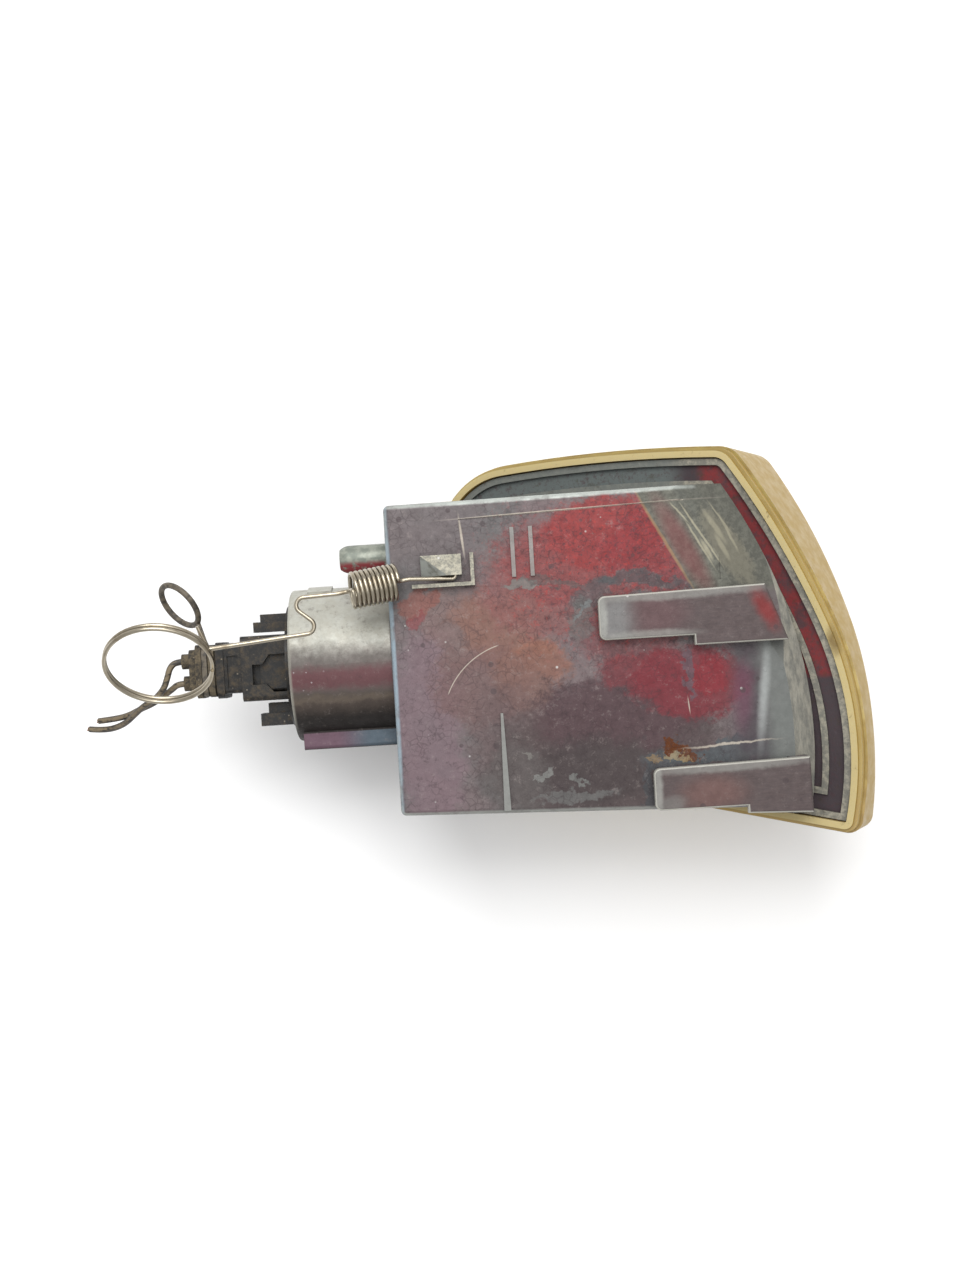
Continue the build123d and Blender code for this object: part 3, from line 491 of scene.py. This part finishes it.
# Patches on the tongues: colour, centre, half sizes, turn, softness, strength
TONGUE_STAINS = [
    ((140, 139, 138), (67, 8), (5.5, 7), 0, 0.6, 0.9),
    ((118, 90, 92), (80, 9), (8, 6), 0, 0.6, 0.7),
    ((140, 62, 62), (112, 9), (2.4, 6), 28, 0.7, 1.0),
    ((136, 100, 94), (93, -45), (9, 5), 0, 0.6, 0.6),
    ((146, 144, 140), (80, -48), (5, 2.4), 20, 0.5, 0.5),
]


def tongue_colour(paint):
    """Tops of the two tongues: dull purple-brown with a grey worn end, some red and painted highlights along
    their edges.
    """
    brushed = paint.noise(0.6, 4.0, 0.7, stretch=(5.0, 1.0, 1.0))
    colour = paint.over(rgb(108, 95, 94), rgb(98, 87, 87), paint.ramp(brushed, 0.3, 0.7))
    place = paint.warped(4.0, 1.5)
    for stain, centre, size, turn, soft, strength in TONGUE_STAINS:
        mask = paint.patch(place, centre, size, turn, soft)
        colour = paint.over(colour, rgb(*stain), paint.both(mask, strength))
    wavy = paint.warped(1.5, 1.2)
    # Painted highlights along the tongues' edges.
    for start, end, strength in TONGUE_EDGE_HIGHLIGHTS:
        worn = paint.stroke(start, end, 2.8, wavy)
        colour = paint.over(colour, rgb(176, 176, 170), paint.both(worn, strength))
    return grain(paint, colour, 0.3)


def scratch_arc(paint, start, middle, end, width):
    """A fine scratch along the circle through three points."""
    (ax, ay), (bx, by), (cx, cy) = start, middle, end
    twice = 2 * (ax * (by - cy) + bx * (cy - ay) + cx * (ay - by))
    a2, b2, c2 = ax * ax + ay * ay, bx * bx + by * by, cx * cx + cy * cy
    centre = ((a2 * (by - cy) + b2 * (cy - ay) + c2 * (ay - by)) / twice,
              (a2 * (cx - bx) + b2 * (ax - cx) + c2 * (bx - ax)) / twice)
    radius = hypot(ax - centre[0], ay - centre[1])
    flat = paint.vector("MULTIPLY", paint.vector("SUBTRACT", paint.place, (*centre, 0.0)), (1.0, 1.0, 0.0))
    off = paint.math("ABSOLUTE", paint.math("SUBTRACT", paint.vector("LENGTH", flat), radius))
    reach = hypot(cx - ax, cy - ay) / 2
    near = paint.patch(paint.place, ((ax + cx) / 2, (ay + cy) / 2), (reach, reach), 0, 0.06)
    return paint.both(paint.ramp(off, width, width * 0.3), near)


def wall_colour(paint):
    """The box's side walls, grey to mauve."""
    mauve = paint.ramp(paint.noise(9.0, 6.0, 0.7), 0.4, 0.65)
    return grain(paint, paint.over(rgb(118, 115, 115), rgb(138, 124, 129), mauve), 0.4)


def catch_colour(paint):
    """The dusty catch that holds the spring's hook, with painted shade on its steep side."""
    dust = paint.ramp(paint.noise(0.9, 5.0, 0.75), 0.40, 0.62)
    dusty = paint.over(rgb(140, 138, 128), rgb(180, 175, 158), dust)
    # Painted shade on the steep side of the catch.
    steep = paint.both(paint.ramp(paint.facing_x, -0.2, -0.4), paint.ramp(paint.facing_z, 0.9, 0.8))
    return paint.over(dusty, rgb(104, 102, 96), paint.both(steep, 0.8))


# Painted highlights along the box's rounded edges as seen from above: start, end, colour
BOX_EDGE_HIGHLIGHTS = [
    ((1.0, 45.9), (96.0, 46.9), (206, 212, 206)),
    ((0.6, -45.5), (0.6, 45.5), (172, 190, 202)),
    ((1.0, -46.4), (122.0, -50.6), (160, 160, 156)),
]


def on_tongues(paint):
    """1 where the tongues lie, as seen from above."""
    return paint.ramp(paint.x, TONGUE_START, TONGUE_START + 1.0)


def edge_wear_and_highlights(paint, colour):
    """Light along the rounded edges, partly worn metal and partly painted highlight, with painted highlights
    along the box's edges, a cool painted highlight down the rear edge and painted highlights on the tongues'
    rounded edges.
    """
    uneven = paint.ramp(paint.noise(5.0, 4.0, 0.7, shift=22.0), 0.25, 0.6)
    # Rounded edges: light that is partly worn metal and partly painted highlight.
    rounded = paint.both(paint.band(paint.facing_z, 0.2, 0.88, 0.08),
                         paint.ramp(paint.z, FACE_TOP - 3.5, FACE_TOP - 2.5),
                         paint.ramp(paint.x, 100.0, 92.0), paint.ramp(paint.x, -0.5, 0.1))
    colour = paint.over(colour, rgb(186, 190, 184), paint.both(rounded, uneven, 0.9))
    patchy = paint.ramp(paint.noise(6.0, 6.0, 0.75, shift=44.0), 0.30, 0.62, 0.35, 0.95)
    # Painted highlights along the box's edges.
    for start, end, tone in BOX_EDGE_HIGHLIGHTS:
        line = paint.both(paint.stroke(start, end, 1.5), paint.ramp(paint.z, FACE_TOP - 3.0, FACE_TOP - 2.2),
                          paint.ramp(paint.z, FACE_TOP + 0.2, FACE_TOP + 0.1))
        colour = paint.over(colour, rgb(*tone), paint.both(line, patchy))
    # Cool painted highlight down the rear edge.
    blue = paint.both(rounded, paint.ramp(paint.x, 2.0, 1.0), paint.band(paint.y, -14.0, 10.0, 12.0), patchy)
    colour = paint.over(colour, rgb(176, 196, 210), paint.both(blue, 0.7))
    # Painted highlight on the tongues' rounded edges.
    tongue_side = paint.both(paint.ramp(paint.z, TONGUE_TOP - 2.7, TONGUE_TOP - 2.4),
                             paint.ramp(paint.facing_z, 0.97, 0.86), on_tongues(paint),
                             paint.ramp(paint.facing_x, 0.5, 0.1))
    return paint.over(colour, rgb(208, 206, 196), paint.both(tongue_side, 0.9))


def face_highlights_and_scratches(paint, colour):
    """Painted highlights along the outline of the sunk panel and along the ledge over the lower tongue, a
    small scratch, the long curved one, chalky specks and dark pits.
    """
    face = paint.both(paint.ramp(paint.facing_z, 0.9, 0.98), paint.ramp(paint.x, 0.0, 1.0))
    wavy = paint.warped(1.2, 1.4)
    # The strokes along the sunk panel's outline and the one at y -31 over the lower tongue are painted
    # highlights on edges; the short stroke at x 88 and the arc are scratches.
    marks = [paint.stroke((23.0, 41.3), (76.0, 42.7), 0.5), paint.stroke((76.0, 42.7), (104.0, 43.4), 0.4),
             paint.stroke((22.6, 41.6), (23.6, 30.5), 0.7), paint.stroke((88.0, -16.5), (88.4, -21.0), 0.35),
             paint.stroke((88.0, -31.5), (112.0, -30.4), 0.7, wavy),
             scratch_arc(paint, (16.4, -10.9), (24.8, -0.8), (31.9, 2.6), 0.22)]
    for mark in marks:
        colour = paint.over(colour, rgb(196, 186, 172), paint.both(mark, face, 0.75))
    chalk = paint.both(paint.specks(5.5, 0.10), face)
    colour = paint.over(colour, rgb(206, 204, 200), paint.both(chalk, 0.8))
    pits = paint.both(paint.specks(5.0, 0.22, 7.0), face)
    return paint.over(colour, rgb(78, 68, 70), paint.both(pits, 0.6))


def housing_colour(paint):
    """All parts of the housing, laid over each other from the face to its finest marks."""
    wavy = paint.warped(0.6, 0.6)
    face = front_slope(paint, hollow(paint, facet(paint, face_colour(paint), wavy), wavy))
    colour = paint.over(wall_colour(paint), face, paint.ramp(paint.facing_z, 0.25, 0.55))
    colour = flange_colour(paint, colour)
    tongues = paint.both(paint.ramp(paint.z, TONGUE_TOP - 1.3, TONGUE_TOP - 0.7), on_tongues(paint))
    colour = paint.over(colour, tongue_colour(paint), tongues)
    colour = paint.over(colour, BLACK, DULLING)
    rear = paint.over(tube_colour(paint), pin_colour(paint), paint.ramp(paint.y, PIN_SIDE, PIN_SIDE + 1.0))
    colour = paint.over(colour, rear, paint.ramp(paint.x, -0.2, -0.5))
    catch = paint.both(paint.ramp(paint.z, FACE_TOP + 0.3, FACE_TOP + 0.7),
                       paint.ramp(paint.x, CATCH_END, CATCH_END - 2.0))
    colour = paint.over(colour, catch_colour(paint), catch)
    ribs = paint.both(paint.ramp(paint.z, FACE_TOP + 0.12, FACE_TOP + 0.2),
                      paint.band(paint.x, 29.0, 50.0, 0.5))
    colour = paint.over(colour, rgb(152, 154, 150), paint.both(ribs, 0.75))
    return face_highlights_and_scratches(paint, edge_wear_and_highlights(paint, colour))


def housing_plastic():
    """Dull metallised plastic of the housing, with fine bumps."""
    paint = Paint("housing_plastic", Metallic=0.35, Specular_IOR_Level=0.2)
    paint.put("Base Color", housing_colour(paint))
    paint.put("Roughness", paint.ramp(paint.noise(3.0, 5.0, 0.7, shift=14.0), 0.3, 0.7, 0.42, 0.62))
    brushed = paint.noise(0.5, 3.0, 0.6, stretch=(1.0, 14.0, 1.0))
    paint.bump((paint.noise(1.2, 4.0, 0.6), 0.05), (brushed, 0.02), (paint.specks(2.6, 0.3, 3.0), 0.03))
    return paint.material


FLUTE_TURN = 1.6                 # radians of the flutes' wave for each millimetre


def lens_flutes(paint, depth):
    """Upright flutes low on the lens's wall."""
    ripple = paint.math("SINE", paint.math("MULTIPLY", paint.math("ADD", paint.x, paint.y), FLUTE_TURN))
    return paint.both(paint.ramp(ripple, -0.7, 0.7), paint.ramp(depth, -7.0, -9.0),
                      paint.ramp(paint.facing_z, 0.3, 0.0))


def lens_colour(paint, depth, flutes):
    """Aged straw to olive plastic, with a groove round the rim, a seam below it, a stain, grime and painted
    shade along the flutes.
    """
    straw = paint.over(rgb(204, 184, 124), rgb(192, 170, 108), paint.ramp(paint.noise(14.0, 3.0), 0.4, 0.6))
    olive = paint.over(rgb(178, 160, 100), rgb(162, 142, 84), paint.ramp(paint.noise(8.0, 3.0), 0.4, 0.6))
    towards_corner = paint.math("ADD", paint.y, paint.math("MULTIPLY", paint.x, 0.35))
    colour = paint.over(straw, olive, paint.ramp(towards_corner, 58.0, 84.0))
    colour = paint.over(colour, rgb(196, 168, 116), paint.both(paint.ramp(paint.y, -38.0, -56.0), 0.7))
    # Darker stripes along the flutes: painted shade of flutes that exist only as bumps.
    colour = paint.over(colour, rgb(150, 122, 64), paint.both(flutes, 0.22))
    colour = paint.over(colour, rgb(206, 188, 136), paint.ramp(depth, 0.1, 0.4))
    groove = paint.band(depth, -1.5, -0.9, 0.35)
    colour = paint.over(colour, rgb(170, 146, 92), paint.both(groove, 0.6))
    wall = paint.both(paint.ramp(paint.facing_z, 0.75, 0.45), paint.ramp(paint.facing_x, 0.2, 0.6))
    colour = paint.over(colour, rgb(184, 152, 74), paint.both(wall, 0.95))
    seam = paint.both(paint.band(depth, -4.9, -4.1, 0.25), paint.ramp(paint.noise(6.0, 3.0), 0.35, 0.65))
    colour = paint.over(colour, rgb(150, 124, 74), paint.both(seam, 0.6))
    place = paint.warped(3.0, 2.0)
    stain = paint.patch(place, (134, -1.5), (2.2, 4.5), 0, 0.6)
    colour = paint.over(colour, rgb(120, 96, 52), paint.both(stain, paint.ramp(depth, -1.4, -0.6), 0.8))
    grime = paint.both(paint.ramp(paint.noise(2.0, 4.0, 0.7, shift=17.0), 0.60, 0.74),
                       paint.ramp(depth, -1.0, 0.2))
    return paint.over(colour, rgb(104, 84, 50), paint.both(grime, 0.6))


def lens_plastic():
    """Aged lens plastic, a little translucent."""
    paint = Paint("lens_plastic", IOR=1.49, Specular_IOR_Level=0.3, Subsurface_Weight=0.1,
                  Subsurface_Radius=(0.012, 0.009, 0.004), Subsurface_Scale=0.6)
    depth = paint.depth()
    flutes = lens_flutes(paint, depth)
    paint.put("Base Color", lens_colour(paint, depth, flutes))
    paint.put("Roughness", paint.ramp(paint.noise(4.0, 5.0, 0.7), 0.3, 0.7, 0.30, 0.52))
    paint.bump((paint.noise(0.9, 3.0), 0.02), (paint.noise(6.0, 3.0), 0.08), (flutes, 0.12))
    return paint.material


def sealant():
    """Dirty brown bead between flange and lens."""
    paint = Paint("sealant", Roughness=0.8)
    dusty = paint.ramp(paint.noise(1.6, 4.0), 0.4, 0.62)
    paint.put("Base Color", paint.over(rgb(84, 64, 34), rgb(132, 106, 62), dusty))
    paint.bump((paint.noise(1.0, 4.0), 0.2))
    return paint.material


def dusty_black(name, dust, roughness, amount, lift=0.0):
    """Black plastic or rubber with brown dust that lies in patches, most on what faces up."""
    paint = Paint(name, Specular_IOR_Level=0.3)
    clouds = paint.ramp(paint.noise(2.6, 6.0, 0.8), 0.54 - amount, 0.84 - amount)
    up = paint.ramp(paint.facing_z, 0.1, 0.8, 0.35, 1.0)
    dark = rgb(14 + lift, 15 + lift, 17 + lift)
    colour = paint.over(dark, rgb(34 + lift, 33 + lift, 32 + lift), paint.noise(0.9, 3.0))
    colour = paint.over(colour, rgb(*dust), paint.both(clouds, up, 0.75))
    colour = paint.over(colour, rgb(176, 162, 140), paint.both(paint.specks(1.5, 0.22), up, 0.5))
    paint.put("Base Color", colour)
    paint.put("Roughness", paint.ramp(clouds, 0.0, 1.0, roughness, 0.85))
    paint.bump((paint.noise(0.5, 4.0), 0.03), (clouds, 0.03))
    return paint.material


def plain_metal(name, light, dark, roughness, size=1.5):
    """Bare or plated metal with clouds of tarnish, size in millimetres."""
    paint = Paint(name, Metallic=1.0)
    tarnish = paint.ramp(paint.noise(size, 4.0, 0.65), 0.45, 0.80)
    paint.put("Base Color", paint.over(rgb(*light), rgb(*dark), tarnish))
    paint.put("Roughness", paint.ramp(tarnish, 0.0, 1.0, roughness, roughness + 0.22))
    paint.bump((paint.noise(size / 3, 3.0), 0.02))
    return paint.material


def reflector_metal():
    """Bright coating of the bowl, hazy in places."""
    paint = Paint("reflector_metal", Metallic=1.0)
    haze = paint.ramp(paint.noise(12.0, 5.0, 0.6), 0.45, 0.75)
    paint.put("Base Color", paint.over(rgb(226, 228, 230), rgb(196, 190, 180), haze))
    paint.put("Roughness", paint.ramp(haze, 0.0, 1.0, 0.08, 0.35))
    return paint.material


def bulb_glass():
    """Clear glass with a trace of haze."""
    paint = Paint("bulb_glass", Base_Color=(1.0, 1.0, 1.0, 1.0), IOR=1.5, Transmission_Weight=1.0)
    paint.put("Roughness", paint.ramp(paint.noise(5.0, 3.0), 0.3, 0.8, 0.0, 0.06))
    return paint.material


def two_tone(name, light, dark, roughness, size=1.2):
    """A small part in two close colours, lightly pitted."""
    paint = Paint(name, Roughness=roughness)
    blend = paint.ramp(paint.noise(size, 4.0), 0.4, 0.64)
    paint.put("Base Color", paint.over(rgb(*light), rgb(*dark), blend))
    paint.bump((paint.noise(size / 2, 3.0), 0.04))
    return paint.material


def lead_insulation():
    """Grey-brown sleeve with lighter streaks and pale streaks on top, which are partly brown dust and partly
    painted highlight.
    """
    paint = Paint("lead_insulation", Roughness=0.5)
    streak = paint.noise(1.1, 3.0, 0.6, stretch=(4.0, 1.4, 1.4))
    # Lighter streaks along the sleeve: partly its own colour, partly painted highlight.
    colour = paint.over(rgb(50, 45, 40), rgb(88, 76, 58), paint.ramp(streak, 0.4, 0.6))
    # Pale streaks on top: partly brown dust, partly painted highlight.
    dust = paint.both(paint.ramp(paint.facing_z, 0.55, 0.95), paint.ramp(streak, 0.38, 0.52))
    paint.put("Base Color", paint.over(colour, rgb(172, 154, 122), paint.both(dust, 0.5)))
    paint.bump((paint.noise(0.6, 3.0), 0.05))
    return paint.material


# ---------------------------------------------------------------- pieces
def curve_piece(name, points, radius, material):
    """A round wire or sleeve on a smooth line with those control points."""
    data = bpy.data.curves.new(name, "CURVE")
    data.dimensions = "3D"
    data.bevel_depth = radius
    data.bevel_resolution = 6
    data.resolution_u = 16
    data.use_fill_caps = True
    spline = data.splines.new("NURBS")
    spline.points.add(len(points) - 1)
    for point, place in zip(spline.points, points):
        point.co = (*place, 1.0)
    spline.order_u = 3
    spline.use_endpoint_u = True
    piece = bpy.data.objects.new(name, data)
    bpy.context.scene.collection.objects.link(piece)
    data.materials.append(material)
    return piece


def mesh_of(piece, name):
    """The piece's surface as a plain mesh object; the curve is removed."""
    graph = bpy.context.evaluated_depsgraph_get()
    mesh = bpy.data.meshes.new_from_object(piece.evaluated_get(graph))
    made = bpy.data.objects.new(name, mesh)
    bpy.context.scene.collection.objects.link(made)
    bpy.data.objects.remove(piece)
    return made


def side_axes(direction):
    """Two directions square to that one and to each other, the first of them level."""
    across = direction.cross(Vector((0.0, 0.0, 1.0))).normalized()
    return across, across.cross(direction).normalized()


def make_strands(name, tip, direction, material):
    """The cut strands at the end of a lead: one in the middle, the others round it, of uneven length."""
    across, up = side_axes(direction)
    data = bpy.data.curves.new(name, "CURVE")
    data.dimensions = "3D"
    data.bevel_depth = STRAND_R
    data.use_fill_caps = True
    for k in range(STRANDS):
        turn = 2 * pi * k / (STRANDS - 1)
        spread = 0.0 if k == STRANDS - 1 else STRAND_SPREAD
        start = tip - direction * STRAND_INSET + (across * cos(turn) + up * sin(turn)) * spread
        end = start + direction * (STRAND_INSET + STRAND_REACH * (0.7 + 0.3 * sin(5.0 * k)))
        spline = data.splines.new("POLY")
        spline.points.add(1)
        spline.points[0].co = (*start, 1.0)
        spline.points[1].co = (*end, 1.0)
    strands = bpy.data.objects.new(name, data)
    bpy.context.scene.collection.objects.link(strands)
    data.materials.append(material)
    return strands


def make_lead(side, route, insulation, copper):
    """A lead with its strands, hung from the connector in place of its CAD wire."""
    points = [at(*place) for place in route]
    lead = curve_piece(f"lead_{side}", points, LEAD_DIAMETER / 2, insulation)
    direction = (points[-1] - points[-2]).normalized()
    ends = make_strands(f"strands_{side}", points[-1], direction, copper)
    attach(lead, "connector")
    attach(ends, "connector")
    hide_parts(f"wire_{side}")


def helix(start, axis, up, radius, pitch, turns):
    """Points along a helix that starts on the side of up."""
    across = axis.cross(up)
    points = []
    for k in range(turns * HELIX_STEPS + 1):
        turn = 2 * pi * k / HELIX_STEPS
        along = axis * (pitch * k / HELIX_STEPS)
        points.append(start + along + (up * cos(turn) + across * sin(turn)) * radius)
    return points


def make_spring(name, node, points, wire_r, material):
    """A coil spring in place of its CAD node, which lies between two bodies."""
    spring = mesh_of(curve_piece(name + "_line", points, wire_r, material), name)
    for polygon in spring.data.polygons:
        polygon.use_smooth = True
    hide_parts(node)
    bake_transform(spring)


def make_tension_spring(material):
    """The coil between the hook and the arm with the ring, with a stub on its axis at each end."""
    axis = Vector((-cos(COIL_YAW) * cos(COIL_RISE), -sin(COIL_YAW) * cos(COIL_RISE), sin(COIL_RISE)))
    up = (Vector((0.0, 0.0, 1.0)) - axis * axis.z).normalized()
    length = COIL_PITCH * COIL_TURNS
    start = DATUM + COIL_MIDDLE - axis * length / 2
    end = start + axis * length
    points = [start - axis * COIL_STUB, start, *helix(start, axis, up, COIL_R, COIL_PITCH, COIL_TURNS),
              end, end + axis * COIL_STUB]
    make_spring("coil_turns", "spring_coil", points, WIRE_R,
                material)


def make_contact_spring(material):
    """The small spring between the holder's floor and the plunger."""
    axis = Vector((1.0, 0.0, 0.0))
    start = at(*CONTACT_SPRING_START)
    points = helix(start, axis, Vector((0.0, 1.0, 0.0)), CONTACT_R, CONTACT_PITCH, CONTACT_TURNS)
    make_spring("contact_turns", "contact_spring", points, CONTACT_WIRE_R,
                material)


# ---------------------------------------------------------------- stage
def make_floor():
    """A wide pale floor under the lamp."""
    paint = Paint("floor_paper", Roughness=0.9)
    paint.put("Base Color", paint.over((0.84, 0.84, 0.84, 1.0), (0.88, 0.88, 0.88, 1.0), paint.noise(120.0)))
    corners = [(x * FLOOR_HALF, y * FLOOR_HALF, 0) for x, y in ((-1, -1), (1, -1), (1, 1), (-1, 1))]
    mesh = bpy.data.meshes.new("floor")
    mesh.from_pydata(corners, [], [(0, 1, 2, 3)])
    floor = bpy.data.objects.new("floor", mesh)
    bpy.context.scene.collection.objects.link(floor)
    mesh.materials.append(paint.material)


def make_soft_box(name, place, size, power):
    """A square soft box that faces the lamp."""
    light = bpy.data.lights.new(name, "AREA")
    light.size = size
    light.energy = power
    soft_box = bpy.data.objects.new(name, light)
    bpy.context.scene.collection.objects.link(soft_box)
    soft_box.location = place
    soft_box.rotation_euler = (LIGHT_TARGET - Vector(place)).to_track_quat("-Z", "Y").to_euler()


def make_world():
    """Even white light from all sides."""
    world = bpy.data.worlds.new("studio")
    world.use_nodes = True
    background = world.node_tree.nodes["Background"]
    background.inputs["Color"].default_value = (1.0, 1.0, 1.0, 1.0)
    background.inputs["Strength"].default_value = WORLD_STRENGTH
    bpy.context.scene.world = world


def make_camera():
    """The camera over the lamp."""
    data = bpy.data.cameras.new("camera")
    data.lens = CAMERA_LENS
    data.sensor_width = 36.0
    camera = bpy.data.objects.new("camera", data)
    bpy.context.scene.collection.objects.link(camera)
    camera.location = at(CAMERA_X, CAMERA_Y, CAMERA_HEIGHT)
    camera.rotation_euler = (0.0, 0.0, CAMERA_TURN)
    bpy.context.scene.camera = camera


# ---------------------------------------------------------------- the scene
def dress(nodes, material):
    """Gives CAD nodes a material."""
    for name in nodes:
        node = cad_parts[name]
        if not node.material_slots:
            node.data.materials.append(material)
        for slot in node.material_slots:
            slot.material = material


make_camera()
make_floor()
make_world()
for name, (place, size, power) in SOFT_BOXES.items():
    make_soft_box(name, place, size, power)

spring_steel = plain_metal("spring_steel", (200, 190, 170), (164, 150, 128), 0.28, size=5.0)
copper = plain_metal("copper_strands", (190, 122, 82), (120, 74, 50), 0.35, size=0.5)
insulation = lead_insulation()
black_plastic = dusty_black("black_plastic", (108, 96, 80), 0.42, 0.11)
black_rubber = dusty_black("black_rubber", (136, 122, 98), 0.6, 0.2, lift=4.0)
brass = plain_metal("brass", (206, 186, 132), (150, 128, 82), 0.3)
tungsten = plain_metal("tungsten", (120, 120, 124), (84, 84, 88), 0.4, size=0.6)

for side, (length, route) in LEAD_ROUTES.items():
    make_lead(side, route, insulation, copper)
make_tension_spring(spring_steel)
make_contact_spring(spring_steel)

dress(["housing"], housing_plastic())
dress(["lens"], lens_plastic())
dress(["lens_sealant"], sealant())
dress(["reflector"], reflector_metal())
dress(["bulb_glass", "bulb_stem"], bulb_glass())
dress(["bulb_cap"], plain_metal("bulb_brass", (214, 198, 158), (168, 146, 104), 0.25))
dress(["bulb_filament", "bulb_supports"], tungsten)
dress(["bulb_insulator"], two_tone("black_glass", (22, 22, 24), (36, 34, 34), 0.15))
dress(["bulb_contact"], plain_metal("solder", (190, 190, 192), (140, 140, 142), 0.35))
dress(["holder_body", "plunger", "connector_body", "connector_collar"], black_plastic)
dress(["holder_seal", "connector_boot"], black_rubber)
dress(["socket_sleeve"], plain_metal("zinc_steel", (200, 200, 204), (150, 150, 152), 0.3))
dress(["spring_hook", "pull_ring"], spring_steel)
dress(["blade_live", "blade_earth", "terminal_live", "terminal_earth"], brass)
dress(["tie_loop"], two_tone("tie_wire", (112, 102, 86), (66, 60, 52), 0.6, 1.6))

bpy.context.scene.view_settings.view_transform = "Standard"
